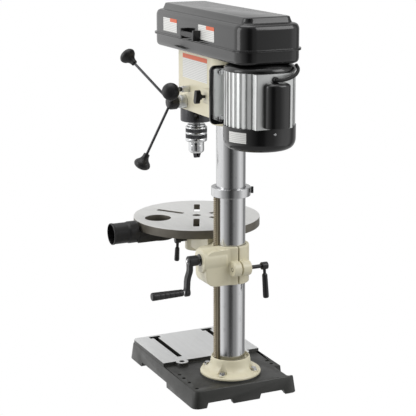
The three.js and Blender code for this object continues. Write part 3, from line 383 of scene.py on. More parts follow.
def rubber():
    s = Shader("belt_rubber")
    clouds = s.noise(60, 4)
    s.colour(s.mix(clouds, linear(20, 20, 20), linear(38, 38, 38)))
    s.rough(clouds, 0.6, 0.85)
    s.bump(s.noise(600, 3), 0.08, 0.6)
    return s.material


def cast_aluminium():
    s = Shader("bare_aluminium")
    clouds = s.noise(22, 5)
    base = s.mix(clouds, linear(206, 208, 207), linear(228, 229, 228))
    s.colour(s.mix(s.edges(0.8), base, linear(236, 236, 236)))
    s.rough(clouds, 0.3, 0.45)
    s.fixed(Metallic=1.0)
    s.bump(s.noise(340, 3), 0.08, 0.6)
    return s.material


def label_paper(name, top, header, header_from=None):
    """White foil label with pale grey bars and a coloured band along the top, from a given Y on."""
    s = Shader(name)
    band = s.span(s.axis(s.place, "Z"), (top - header) * MM, (top - header + 0.2) * MM, 0, 1)
    if header_from is not None:
        behind = s.span(s.axis(s.place, "Y"), header_from * MM, (header_from + 0.3) * MM, 0, 1)
        band = s.maths("MULTIPLY", band, behind)
    fleck = s.noise(150, 4)
    paper = s.mix(fleck, linear(228, 228, 224), linear(242, 242, 239))
    wave = s.maths("SINE", s.maths("MULTIPLY", s.axis(s.place, "Z"), TAU / (BAR_PITCH * MM)))
    line = s.span(wave, 0.1, 0.35, 0, 0.42)
    paper = s.mix(line, paper, linear(150, 150, 150))
    s.colour(s.mix(band, paper, linear(222, 98, 52)))
    s.rough(fleck, 0.3, 0.42)
    s.bump(s.noise(300, 2), 0.02, 0.3)
    return s.material


MATERIALS = {
    "cream_paint": cream_paint(),
    "black_paint": gloss_black(),
    "base_paint": base_paint(),
    "polished_steel": steel("polished_steel", linear(182, 183, 184), linear(214, 214, 215), (0.13, 0.22)),
    "rack_steel": rack_steel(),
    "dark_steel": steel("dark_steel", linear(62, 62, 64), linear(92, 92, 94), (0.25, 0.42), (1, 1, 1)),
    "chuck_steel": steel("chuck_steel", linear(196, 197, 198), linear(224, 225, 226), (0.1, 0.2), (1, 1, 8)),
    "ground_iron": table_iron(),
    "bare_aluminium": cast_aluminium(),
    "black_plastic": plastic("black_plastic", (20, 20, 21)),
    "red_plastic": plastic("red_plastic", (176, 30, 26), (0.22, 0.34)),
    "belt_rubber": rubber(),
}


# ------------------------------------------------------------------ mesh helpers

def new_object(name, points, faces):
    mesh = bpy.data.meshes.new(name)
    mesh.from_pydata([Vector(p) * MM for p in points], [], faces)
    work = bmesh.new()
    work.from_mesh(mesh)
    bmesh.ops.remove_doubles(work, verts=work.verts, dist=1e-7)
    bmesh.ops.recalc_face_normals(work, faces=work.faces)
    work.to_mesh(mesh)
    work.free()
    made = bpy.data.objects.new(name, mesh)
    bpy.context.scene.collection.objects.link(made)
    return made


def fillet(profile, radius=1.0, steps=4, closed=False):
    """Rounds a polyline's corners. A point may carry its own radius as a third number."""
    result = []
    count = len(profile)
    for i, entry in enumerate(profile):
        here = Vector(entry[:2])
        r = entry[2] if len(entry) > 2 else radius
        if r <= 0 or (not closed and i in (0, count - 1)):
            result.append(tuple(here))
            continue
        before = Vector(profile[i - 1][:2]) - here
        after = Vector(profile[(i + 1) % count][:2]) - here
        reach = min(r, before.length * 0.45, after.length * 0.45)
        start, end = here + before.normalized() * reach, here + after.normalized() * reach
        for k in range(steps + 1):
            t = k / steps
            result.append(tuple(start * (1 - t) ** 2 + here * (2 * t * (1 - t)) + end * t ** 2))
    return result


def lathe(name, profile, sides=96, closed=False, ripple=None):
    """Turns [radius, height] points about Z. ripple(angle, radius, height) may change the radius."""
    points, faces = [], []
    for r, z in profile:
        for k in range(sides):
            a = TAU * k / sides
            s = ripple(a, r, z) if ripple else r
            points.append((s * math.cos(a), s * math.sin(a), z))
    rows = len(profile)
    for i in range(rows if closed else rows - 1):
        j = (i + 1) % rows
        for k in range(sides):
            m = (k + 1) % sides
            faces.append((i * sides + k, i * sides + m, j * sides + m, j * sides + k))
    if not closed:
        faces.append(tuple(range(sides))[::-1])
        faces.append(tuple((rows - 1) * sides + k for k in range(sides)))
    return new_object(name, points, faces)


def spun(name, profile, sides=96, radius=1.0, steps=4, closed=False):
    """A turned piece with its profile's corners rounded."""
    return lathe(name, fillet(profile, radius, steps, closed), sides, closed)


def loft(name, rings, caps=True):
    """Skins rings of equal point counts. Each ring is a list of 3-D points."""
    count = len(rings[0])
    points = [p for ring in rings for p in ring]
    faces = []
    for i in range(len(rings) - 1):
        for k in range(count):
            m = (k + 1) % count
            faces.append((i * count + k, i * count + m, (i + 1) * count + m, (i + 1) * count + k))
    if caps:
        faces.append(tuple(range(count))[::-1])
        faces.append(tuple((len(rings) - 1) * count + k for k in range(count)))
    return new_object(name, points, faces)


def corner_outline(x0, x1, y0, y1, r, steps=10):
    corners = [(x1 - r, y0 + r, -90), (x1 - r, y1 - r, 0), (x0 + r, y1 - r, 90), (x0 + r, y0 + r, 180)]
    result = []
    for x, y, start in corners:
        for k in range(steps + 1):
            a = math.radians(start + 90 * k / steps)
            result.append((x + r * math.cos(a), y + r * math.sin(a)))
    return result


def prism(name, outline, z0, z1):
    return loft(name, [[(x, y, z0) for x, y in outline], [(x, y, z1) for x, y in outline]])


def box(name, x0, x1, y0, y1, z0, z1):
    return prism(name, [(x0, y0), (x1, y0), (x1, y1), (x0, y1)], z0, z1)


def rod(name, radius, z0, z1, sides=64):
    return lathe(name, [(radius, z0), (radius, z1)], sides)


def shifted(obj, x=0, y=0, z=0):
    obj.data.transform(Matrix.Translation(Vector((x, y, z)) * MM))
    return obj


def turned(obj, degrees, axis):
    obj.data.transform(Matrix.Rotation(math.radians(degrees), 4, axis))
    return obj


def along_x(obj):
    return turned(obj, 90, "Y")


def along_y(obj):
    return turned(obj, -90, "X")


def applied(obj):
    """Bakes the object's modifiers into its mesh."""
    graph = bpy.context.evaluated_depsgraph_get()
    mesh = bpy.data.meshes.new_from_object(obj.evaluated_get(graph))
    obj.modifiers.clear()
    obj.data = mesh
    return obj


def boolean(obj, operation, tools):
    for tool in tools:
        step = obj.modifiers.new("boolean", "BOOLEAN")
        step.operation = operation
        step.solver = "EXACT"
        step.object = tool
    applied(obj)
    for tool in tools:
        bpy.data.objects.remove(tool)
    return obj


def cut(obj, *tools):
    return boolean(obj, "DIFFERENCE", tools)


def fuse(obj, *tools):
    return boolean(obj, "UNION", tools)


def join(obj, *others):
    """Puts separate solids into one object."""
    work = bmesh.new()
    for each in (obj, *others):
        work.from_mesh(each.data)
    work.to_mesh(obj.data)
    work.free()
    for each in others:
        bpy.data.objects.remove(each)
    return obj


def bevelled(obj, width, segments=2, angle=32):
    step = obj.modifiers.new("bevel", "BEVEL")
    step.width = width * MM
    step.segments = segments
    step.limit_method = "ANGLE"
    step.angle_limit = math.radians(angle)
    step.use_clamp_overlap = True
    return applied(obj)


def cast(obj, voxel=1.2, rounds=6):
    """Gives a joined solid the soft fillets of a casting."""
    step = obj.modifiers.new("remesh", "REMESH")
    step.mode = "VOXEL"
    step.voxel_size = voxel * MM
    soften = obj.modifiers.new("smooth", "SMOOTH")
    soften.factor = 0.5
    soften.iterations = rounds
    return applied(obj)


def smooth(obj, angle=35):
    for face in obj.data.polygons:
        face.use_smooth = True
    obj.data.set_sharp_from_angle(angle=math.radians(angle))
    return obj


def copy_of(node):
    """A detailed piece's starting mesh: the CAD node with its flat faces merged."""
    mesh = frame["nodes"][node].data.copy()
    mesh.materials.clear()
    work = bmesh.new()
    work.from_mesh(mesh)
    bmesh.ops.remove_doubles(work, verts=work.verts, dist=1e-6)
    bmesh.ops.dissolve_limit(work, angle_limit=math.radians(1), verts=work.verts, edges=work.edges)
    work.to_mesh(mesh)
    work.free()
    made = bpy.data.objects.new(node + "_fine", mesh)
    bpy.context.scene.collection.objects.link(made)
    return made


BODY_OF = {n: body for body, members in frame["record"]["behaviour"]["bodies"].items() for n in members}
SLOT_OF = {entry["node"]: entry["material_slot"] for entry in frame["record"]["subparts"]}


def stand_for(obj, node, material=None, angle=35):
    """The piece replaces a CAD node: it rides on the node's body and takes its slot and material."""
    smooth(obj, angle)
    obj.data.materials.clear()
    obj.data.materials.append(material or MATERIALS[SLOT_OF[node]])
    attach(obj, BODY_OF[node])
    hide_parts(node)
    return obj


def refine(node, width, segments=2, angle=40):
    """The CAD node's own shape with its edges broken."""
    stand_for(bevelled(copy_of(node), width, segments, angle), node)


def detail(obj, body, slot, material=None, angle=35):
    """A small extra piece on a body."""
    smooth(obj, angle)
    obj.data.materials.clear()
    obj.data.materials.append(material or MATERIALS[slot])
    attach(obj, body)
    return obj


def dress(*nodes):
    """CAD nodes whose shape is final only get their material."""
    for node in nodes:
        data = frame["nodes"][node].data
        data.materials.clear()
        data.materials.append(MATERIALS[SLOT_OF[node]])


def hex_head(name, across, height, washer=None):
    """A hexagon bolt head on +Z from 0, with a chamfered top and a washer."""
    points = [(across / math.sqrt(3) * math.cos(TAU * (k + 0.5) / 6),
               across / math.sqrt(3) * math.sin(TAU * (k + 0.5) / 6)) for k in range(6)]
    head = prism(name, points, 0, height)
    dome = spun("dome", [(AXIS, -1), (across, -1), (across / 2 * 1.02, height), (AXIS, height)], 48, 0.3)
    step = head.modifiers.new("chamfer", "BOOLEAN")
    step.operation = "INTERSECT"
    step.solver = "EXACT"
    step.object = dome
    applied(head)
    bpy.data.objects.remove(dome)
    if washer:
        ring = spun("washer", [(AXIS, -washer[1]), (washer[0], -washer[1]), (washer[0], 0), (AXIS, 0)], 48,
            0.3)
        join(head, ring)
    return head


def pan_screw(name, radius, height):
    """A domed screw head on +Z from 0 with a cross recess."""
    head = lathe(name, [(radius, 0), (radius, height * 0.35), (radius * 0.85, height * 0.75),
        (radius * 0.5, height * 0.96), (AXIS, height)], 32)
    slot = radius * 0.13
    bars = [box("bar", -radius * 0.6, radius * 0.6, -slot, slot, height * 0.45, height * 2),
            box("bar", -slot, slot, -radius * 0.6, radius * 0.6, height * 0.45, height * 2)]
    return cut(head, *bars)


# ------------------------------------------------------------------ base and column

def base_and_column():
    refine("base_casting", 1.6, 3)

    neck, rim, bottom, top = 48.6, 55, 48.3, 92
    flare = [(neck + 2 + 20 * (1 - math.sin(t)), rim + 3 + 24 * (1 - math.cos(t)), 0)
             for t in [math.pi / 2 * k / 10 for k in range(11)]]
    profile = [(37.2, bottom), (76, bottom), (77, bottom + 1), (77, rim - 2), (75, rim, 0.6), *flare,
               (neck, top - 1), (neck - 0.8, top), (46.1, top), (46.1, 84), (37.2, 84)]
    flange = spun("column_flange_fine", profile, 128, 0.8, 3, closed=True)
    pads = [shifted(rod("pad", 12.5, bottom + 2, rim + 4, 48), x, y) for x, y in FLANGE_BOLTS]
    rooms = [shifted(rod("room", 12.5, rim + 4, top, 48), x, y) for x, y in FLANGE_BOLTS]
    fuse(flange, *pads)
    cut(flange, *rooms)
    stand_for(bevelled(flange, 0.8, 2, 40), "column_flange")
    for i, (x, y) in enumerate(FLANGE_BOLTS, 1):
        bolt = shifted(hex_head(f"flange_bolt_{i}", 13, 5.5, (8.6, 1.4)), x, y, rim + 5.4)
        detail(turned_about(bolt, x, y, 17 * i), "machine_frame", "polished_steel")

    inner = COLUMN_RADIUS - COLUMN_WALL
    profile = [(inner, 48.5), (COLUMN_RADIUS, 48.5), (COLUMN_RADIUS, 850), (inner, 850)]
    stand_for(spun("column_tube_fine", profile, 160, 0.8, 3, closed=True), "column_tube")

    refine("lift_rack", 0.25, 1)

    profile = [(46.8, 509), (49, 509), (49, 531), (37.2, 531), (37.2, 518.5), (46.8, 518.5)]
    collar = spun("rack_collar_fine", profile, 128, 1.4, 4, closed=True)
    stand_for(collar, "rack_collar")

    def knurl(a, r, z):
        return r - 0.5 * (math.sin(a * 20) > 0) if r > 8.2 and 50 < z < 55.4 else r
    profile = [(AXIS, 49.4), (7.7, 49.4), (8.5, 50.2), (8.5, 55.2), (7.7, 56), (3, 56), (2.6, 55), (AXIS, 55)]
    head = lathe("collar_set_screw_fine", profile, 80, False, knurl)
    head = turned(shifted(along_x(head), 0, 0, 522.3), 153, "Z")
    stand_for(head, "collar_set_screw", None, 25)


def turned_about(obj, x, y, degrees):
    place = Matrix.Translation(Vector((x, y, 0)) * MM)
    obj.data.transform(place @ Matrix.Rotation(math.radians(degrees), 4, "Z") @ place.inverted())
    return obj


base_and_column()


# ------------------------------------------------------------------ table bracket, crank and levers

def bracket():
    bottom, top = 289, 386
    collar = spun("table_bracket_fine", [(AXIS, bottom), (46, bottom), (46, top), (AXIS, top)], 96, 3)
    case = fillet([(0, bottom + 1, 0), (86, bottom + 1, 30), (86, top - 6, 24), (0, top - 4, 0)], 20, 10,
        True)
    casing = turned(prism("case", [(x, z) for x, z in case], -41, 25), 90, "X")
    boss = shifted(along_x(spun("boss", [(AXIS, 30), (31, 30), (31, 92), (AXIS, 92)], 80, 2)), 0, CRANK_Y,
        CRANK_Z - 1)
    lug = shifted(along_x(spun("lug", [(AXIS, -26), (19, -26), (19, 22), (AXIS, 22)], 72, 3)), 0, 52, 333)
    root = box("root", -26, 22, 30, 50, 316, 350)
    tilt = shifted(along_y(rod("tilt", 32, -66, -20, 80)), 0, 0, TILT_Z)
    fuse(collar, casing, boss, lug, root, tilt)
    cut(collar, rod("bore", 37.2, bottom - 1, top + 1, 96),
        box("rack_way", 30, 46.4, -7.6, 7.6, bottom - 1, top + 1),
        box("split", -1.4, 1.4, 30, 80, bottom - 1, top + 1),
        box("front_room", -60, 60, -60, -30, 374, top + 1))
    stand_for(cast(collar, 1.2, 5), "table_bracket", None, 60)
    cap = shifted(along_x(spun("crank_bush", [(8.6, 91.5), (15, 91.5), (15, 93.5), (8.6, 93.5)], 64, 0.4, 2,
        closed=True)), 0, CRANK_Y, CRANK_Z)
    detail(cap, "bracket", "dark_steel")
    recess = along_x(spun("lock_screw_end", [(AXIS, 20), (5.6, 20), (5.6, 22.5), (4.4, 22.5), (3.6, 21.4),
        (AXIS, 21.4)], 48, 0.3, 2))
    detail(shifted(recess, 0, 55, 333), "bracket", "dark_steel")


def crank():
    arm = cast(copy_of("crank_arm"), 0.8, 4)
    stand_for(arm, "crank_arm", None, 60)
    dress("crank_shaft", "lift_pinion", "crank_grip_pin")
    a, b = 138, 221
    rings = []
    for k in range(5):
        z = a + 12 + k * 13
        r = 8.7 + 0.022 * (z - a)
        rings += [(r, z - 1.2), (r - 0.6, z - 0.5), (r - 0.6, z + 0.5), (r, z + 1.2)]
    profile = [(4.4, a), (7.6, a), (8.6, a + 1.5), *rings, (10.3, b - 5), (10, b - 1.5), (8.5, b), (AXIS, b),
               (AXIS, 215), (4.4, 215)]
    grip = spun("crank_grip_fine", profile, 72, 0.5, 3, closed=True)
    stand_for(shifted(along_x(grip), 0, CRANK_Y, CRANK_Z - CRANK_THROW), "crank_grip")
    bolt = shifted(along_x(hex_head("crank_screw", 8, 3.4, (6, 0.8))), 124.4, CRANK_Y, CRANK_Z)
    detail(shifted(bolt, 0.9), "crank", "polished_steel")


def hanging_lever(name, hub_radius, hub_length, drop, grip, lean):
    half = hub_length / 2
    hub = along_x(spun(name, [(AXIS, -half), (hub_radius, -half), (hub_radius, half), (AXIS, half)], 56, 2,
        4))
    profile = [(AXIS, -drop), (grip - 1, -drop, 2), (grip, -drop + 4, 3), (grip - 0.8, -hub_radius - 14, 2),
               (3.8, -hub_radius - 10, 1), (3.8, -hub_radius + 3), (AXIS, -hub_radius + 3)]
    handle = turned(spun("handle", profile, 48, 1, 5), lean, "Y")
    return fuse(hub, handle)


def levers():
    lock = hanging_lever("column_lock_lever_fine", 9.5, 17, 84, 7.6, 4)
    fuse(lock, along_x(rod("screw", 4.9, 4, 84, 32)))
    stand_for(shifted(lock, -66, 55, 333), "column_lock_lever")
    cap = shifted(along_x(rod("column_lock_cap", 4.2, -10.2, -8.4, 32)), -66, 55, 333)
    detail(bevelled(cap, 0.5), "column_lock", "polished_steel")
    table_lock = hanging_lever("table_lock_handle_fine", 8, 15, 56, 6.8, -3)
    fuse(table_lock, along_x(rod("screw", 5, -38, -5, 32)))
    stand_for(shifted(table_lock, 55, SPINDLE_Y, 350), "table_lock_handle")


bracket()
crank()
levers()


# ------------------------------------------------------------------ table

def table():
    arm = turned_arm()
    stand_for(cast(arm, 1.2, 5), "table_arm", None, 60)
    refine("tilt_bolt", 0.6)

    radius, top, bottom, web = TABLE_RADIUS, TABLE_TOP, TABLE_BOTTOM, TABLE_WEB
    profile = [(11, 328), (15, 328), (15, bottom), (36, bottom), (36, web), (radius - 12, web),
        (radius - 12, bottom), (radius, bottom), (radius, top), (11, top)]
    plate = spun("table_plate_fine", profile, 192, 0.9, 3, closed=True)
    ribs = [turned(box("rib", 34, radius - 10, -4, 4, bottom + 2, web + 1), a, "Z")
            for a in (35, 95, 155, 215, 275, 335)]
    angle = math.radians(BIG_HOLE_ANGLE)
    x, y = BIG_HOLE_AT * math.cos(angle), BIG_HOLE_AT * math.sin(angle)
    wall = shifted(rod("wall", BIG_HOLE + 6, bottom, web + 1, 80), x, y)
    fuse(plate, *ribs, wall)
    slots = [turned(prism("slot", corner_outline(40, 122, -8, 8, 4, 4), bottom - 1, top + 1), 65 + 60 * i,
        "Z") for i in range(5)]
    cut(plate, *slots, shifted(rod("hole", BIG_HOLE, bottom - 1, top + 1, 96), x, y))
    stand_for(bevelled(shifted(plate, 0, SPINDLE_Y), 0.7, 2, 40), "table_plate")

    roof, z, yo = bottom - 0.3, 386, -2.5
    catcher = shifted(rod("dust_port_fine", 39, 360, roof, 96), x, y)
    duct = box("duct", x, 175, yo - 25, yo + 25, 361, roof)
    profile = [(AXIS, 172), (28.4, 172), (28.4, 194), (26.8, 198), (26.8, 238.5), (26, 240), (AXIS, 240)]
    port = shifted(along_x(spun("port", profile, 96, 0.8, 3)), 0, yo, z)
    fuse(catcher, duct, port)
    cut(catcher, shifted(rod("room", BIG_HOLE, 364, roof + 1, 96), x, y),
        box("way", x, 176, yo - 20, yo + 20, 365, 385),
        shifted(along_x(rod("bore", 25.5, 175, 241, 96)), 0, yo, z))
    lip = spun("lip", [(26.4, 234.5), (28, 234.5), (28, 239.6), (26.4, 239.6)], 96, 0.6, 3, closed=True)
    fuse(catcher, shifted(along_x(lip), 0, yo, z))
    stand_for(bevelled(shifted(catcher, 0, SPINDLE_Y), 0.5, 2, 40), "dust_port")


def turned_arm():
    arm = shifted(along_y(rod("table_arm_fine", 32, 120.5, 138.1, 96)), 0, 0, TILT_Z)
    beam = box("beam", -25, 25, 0, 122.5, 332, 386)
    boss = spun("boss", [(AXIS, 322), (31, 322), (31, 388), (AXIS, 388)], 96, 2)
    fuse(arm, beam, boss)
    cut(arm, box("channel", -17, 17, 28, 120.5, 320, 377), rod("post", 15.9, 320, 390, 80))
    return shifted(arm, 0, SPINDLE_Y)


table()


# ------------------------------------------------------------------ head, quill and chuck

def head():
    bottom, top, half = 700, 857, 45
    arc = [(half * math.cos(a), SPINDLE_Y + half * math.sin(a)) for a in
           [math.pi + math.pi * k / 40 for k in range(41)]]
    body = prism("head_casting_fine", [(-half, -20), *arc, (half, -20)], bottom, top)
    profile = [(AXIS, bottom - 12), (50, bottom - 12, 3), (50, top), (AXIS, top)]
    socket = spun("socket", profile, 120, 1)
    lugs = []
    for side in (-1, 1):
        outline = corner_outline(side * BAR_X - 13, side * BAR_X + 13, BAR_Z - 19, BAR_Z + 19, 8, 8)
        lugs.append(turned(prism("lug", outline, -40, 12), 90, "X"))
        inner, outer = sorted((side * 30, side * 52))
        lugs.append(box("lug_root", inner, outer, -12, 30, BAR_Z - 19, BAR_Z + 19))
    boss = shifted(along_x(rod("feed_boss", 21, -46.5, 46.5, 72)), 0, FEED_Y, FEED_Z)
    pad = box("switch_pad", -24, 24, -252, -230, 762, 836)
    fuse(body, socket, *lugs, boss, pad)
    bores = [shifted(along_y(rod("bar_bore", 9.3, -20, 50, 48)), side * BAR_X, 0, BAR_Z) for side in (-1, 1)]
    cut(body, rod("column_bore", 37.2, bottom - 20, 851, 120),
        shifted(rod("quill_bore", 22.9, bottom - 20, 839, 80), 0, SPINDLE_Y),
        shifted(rod("spindle_hole", 16, 700, top + 1, 48), 0, SPINDLE_Y),
        prism("hollow", corner_outline(-37, 37, -142, -58, 10), bottom - 1, top - 9),
        box("plate_room", -46, 46, 41.5, 51, bottom - 4, 847), *bores)
    cut(body, shifted(along_x(rod("feed_bore", 15.2, -5.5, 50, 56)), 0, FEED_Y, FEED_Z),
        shifted(along_x(rod("feed_bore_far", 9, -50, 0, 56)), 0, FEED_Y, FEED_Z))
    stand_for(cast(body, 1.3, 5), "head_casting", None, 60)

    ring = spun("guide_collar_fine", [(22.9, 664), (41, 664, 3), (41, 697.5, 1), (22.9, 697.5)], 128, 1, 4,
        closed=True)
    cut(ring, turned(box("slot", -5, 5, 30, 50, 676, 699), -22, "Z"))
    stand_for(bevelled(shifted(ring, 0, SPINDLE_Y), 0.4, 2, 40), "quill_guide_collar")
    for i, angle in enumerate((62, 118), 1):
        screw = along_x(rod(f"guide_screw_{i}", 4, 40, 42.2, 32))
        screw = cut(screw, along_x(lathe("socket", [(2.2, 41), (2.2, 43)], 6)))
        screw = shifted(turned(shifted(screw, 0, 0, 684), angle, "Z"), 0, SPINDLE_Y)
        detail(screw, "machine_frame", "polished_steel")
    stand_for(cast(copy_of("tension_knob"), 0.6, 3), "tension_knob", None, 60)


def quill():
    dress("quill_tube", "spindle_shaft")
    for i in (1, 2, 3):
        refine(f"chuck_jaw_{i}", 0.2, 1, 50)
    profile = [(8.4, 580, 0), (15.5, 580), (19.5, 583.5), (20.3, 587), (20.3, 600), (19.8, 601),
        (20.3, 602), (20.3, 649), (23.5, 650.3), (23.5, 654.5), (22, 656), (9.8, 656), (9.8, 626),
        (8.4, 626)]
    body = spun("chuck_body_fine", profile, 128, 0.5, 3, closed=True)
    holes = [turned(shifted(along_x(rod("key_hole", 3.6, 12, 30, 32)), 0, 0, 603), a + 63, "Z") for a in (0,
        120, 240)]
    bores = []
    for angle in (-90, 30, 150):
        bore = turned(rod("jaw_bore", 5.3, -5, 62, 40), 15, "Y")
        bores.append(turned(shifted(bore, 3.7, 0, 567), angle, "Z"))
    cut(body, *holes, *bores)
    stand_for(shifted(body, 0, SPINDLE_Y), "chuck_body")

    bands = ((619, 630), (635, 645))

    def knurl(a, r, z):
        inside = any(low < z < high for low, high in bands)
        return r - 0.45 * (1 - math.cos(a * 60)) if inside and r > 27 else r
    profile = [(25, 610.5), (26.2, 610.5), (28, 612.4), (28, 618.6), (27.6, 619), (28, 619.4), (28, 629.6),
        (27.6, 630), (28, 630.4), (28, 634.6), (27.6, 635), (28, 635.4), (28, 644.6), (27.6, 645),
        (28, 645.4), (28, 648.2), (26.2, 650), (24, 650), (24, 646), (25, 614.5)]
    sleeve = lathe("chuck_sleeve_fine", profile, 480, True, knurl)
    sleeve = shifted(sleeve, 0, SPINDLE_Y)
    stand_for(sleeve, "chuck_sleeve", None, 50)
    sleeve.data.materials.append(MATERIALS["dark_steel"])
    for face in sleeve.data.polygons:
        z = face.center.z / MM
        radius = math.hypot(face.center.x, face.center.y - SPINDLE_Y * MM) / MM
        if radius > 26 and any(low + 0.2 < z < high - 0.2 for low, high in bands):
            face.material_index = 1


head()
quill()


# ------------------------------------------------------------------ feed handles, dial and switch

def on_spoke(obj, i):
    lean = Matrix.Rotation(math.radians(90 - SPOKE_CONE), 4, "Y")
    out = Matrix.Translation(Vector((SPOKE_ROOT, 0, 0)) * MM)
    spin = Matrix.Rotation(math.radians(SPOKE_PHASE + 120 * i - 90), 4, "X")
    obj.data.transform(Matrix.Translation(Vector((0, FEED_Y, FEED_Z)) * MM) @ spin @ out @ lean)
    return obj


def feed():
    dress("feed_pinion_shaft", "return_spring_case")
    hub = along_x(spun("feed_hub_fine", [(AXIS, 69), (15, 69, 0.6), (18.5, 72), (18.5, 89), (14, 95),
        (8, 97), (AXIS, 97)], 80, 2, 5))
    cut(hub, along_x(rod("shaft_bore", 9, 68, 84.5, 48)))
    stand_for(shifted(hub, 0, FEED_Y, FEED_Z), "feed_hub")
    for i in range(3):
        profile = fillet([(AXIS, 12), (3.4, 12), (3.4, 166), (AXIS, 166)], 0.5, 3)
        stand_for(on_spoke(lathe(f"feed_spoke_{i + 1}_fine", profile, 48), i), f"feed_spoke_{i + 1}")
        s = 147
        profile = [(AXIS, s), (7.4, s, 1), (7.9, s + 1, 0.5), (8.6, s + 9, 4), (12, s + 16, 4),
            (19, s + 22.5, 4), (21.5, s + 28, 4), (21.5, s + 32, 4), (18, s + 37.8, 4), (10, s + 41.8, 3),
            (AXIS, s + 43)]
        stand_for(on_spoke(spun(f"feed_knob_{i + 1}_fine", profile, 80, 2, 5), i), f"feed_knob_{i + 1}")
    case = along_x(spun("return_spring_case_fine", [(9.2, -68), (24, -68), (26, -66), (26, -47),
        (9.2, -47)], 96, 1, 3, closed=True))
    stand_for(shifted(case, 0, FEED_Y, FEED_Z), "return_spring_case")

    def ticks(a, r, z):
        return r - 0.35 if r > 15 and z > 63.4 and (a * 36 / TAU) % 1 < 0.18 else r
    profile = [(9, 47), (17, 47), (17, 61.4), (16.6, 62), (15.6, 63), (15.5, 63.5), (15.5, 68), (15, 68.5),
        (9, 68.5)]
    dial = along_x(lathe("depth_dial_fine", profile, 360, True, ticks))
    stand_for(shifted(dial, 0, FEED_Y, FEED_Z), "depth_dial")
    block = along_x(spun("depth_stop_block", [(AXIS, 45), (8, 45), (8, 66), (AXIS, 66)], 56, 1, 3))
    detail(shifted(block, 0, -150, 757), "machine_frame", "bare_aluminium")
    stop = along_x(spun("depth_stop_lever", [(AXIS, 66), (5.5, 66), (6.5, 72), (AXIS, 72)], 40, 1.2, 4))
    detail(shifted(stop, 0, -150, 757), "machine_frame", "black_plastic")


def switch():
    refine("switch_plate", 0.8)
    refine("switch_paddle", 1.0, 3)
    for i, z in enumerate((771, 827), 1):
        screw = shifted(turned(pan_screw(f"switch_screw_{i}", 3.2, 1.6), 90, "X"), 0, -256, z)
        detail(screw, "machine_frame", "polished_steel")


feed()
switch()


# ------------------------------------------------------------------ belt drive

def step_pulley(name, radii, bore, hub_bottom):
    profile = [(bore, hub_bottom), (18, hub_bottom), (18, PULLEY_BOTTOM)]
    for i, r in enumerate(radii):
        z = PULLEY_BOTTOM + i * PULLEY_STEP
        profile += [(r, z), (r, z + 1.6), (r - PULLEY_GROOVE, z + 4.9), (r - PULLEY_GROOVE, z + 11.1),
            (r, z + 14.4), (r, z + PULLEY_STEP)]
    profile.append((bore, PULLEY_BOTTOM + len(radii) * PULLEY_STEP))
    return spun(name, profile, 120, 0.4, 2, closed=True)


def belt_loop(y1, r1, y2, r2):
    lean = math.asin((r2 - r1) / abs(y2 - y1))
    points = []
    for y, r, start, sweep in ((y1, r1, math.pi + lean, math.pi - 2 * lean),
            (y2, r2, -lean, math.pi + 2 * lean)):
        for k in range(49):
            a = start + sweep * k / 48
            points.append((r * math.cos(a), y + r * math.sin(a)))
    return points


def belt(name, y1, r1, y2, r2, level):
    inner = PULLEY_GROOVE - 0.9
    z = PULLEY_BOTTOM + level * PULLEY_STEP + 5
    rings = []
    for grow, height in ((0, 1), (0.6, 0.2), (5.2, 0), (5.9, 0.8), (5.9, 5.2), (5.2, 6), (0.6, 5.8), (0, 5)):
        loop = belt_loop(y1, r1 - inner + grow, y2, r2 - inner + grow)
        rings.append([(x, y, z + height) for x, y in loop])
    rings.append(rings[0])
    return loft(name, rings, False)


def drive():
    spindle = shifted(step_pulley("spindle_pulley_fine", STEPS_DOWN, 7.9, 862), 0, SPINDLE_Y)
    stand_for(spindle, "spindle_pulley")
    stand_for(shifted(step_pulley("idler_pulley_fine", STEPS_UP, 8.3, 864), 0, IDLER_Y), "idler_pulley")
    stand_for(shifted(step_pulley("motor_pulley_fine", STEPS_DOWN, 9.8, 864), 0, MOTOR_Y), "motor_pulley")
    post = spun("idler_post_fine", [(AXIS, 860.7), (20, 860.7), (20, 863), (8, 863), (8, 938), (AXIS, 938)],
        64, 0.6, 3)
    stand_for(shifted(post, 0, IDLER_Y), "idler_post")
    front = belt("front_belt_fine", SPINDLE_Y, STEPS_DOWN[1], IDLER_Y, STEPS_UP[1], 1)
    stand_for(front, "front_belt")
    rear = belt("rear_belt_fine", IDLER_Y, STEPS_UP[3], MOTOR_Y, STEPS_DOWN[3], 3)
    stand_for(rear, "rear_belt")


drive()


# ------------------------------------------------------------------ belt guard

def cover_ring(inset, z):
    w, front, back = COVER["half"], COVER["front"], COVER["back"]
    corner = max(COVER["corner"] - inset, 6)
    return [(x, y, z) for x, y in corner_outline(-w + inset, w - inset, front + inset, back - inset, corner,
        12)]


def shell(name, steps):
    """A thin shell from [inset, height] steps: down the inside, round the rim and over the outside."""
    return loft(name, [cover_ring(inset, z) for inset, z in fillet(steps, 1.2, 4)])


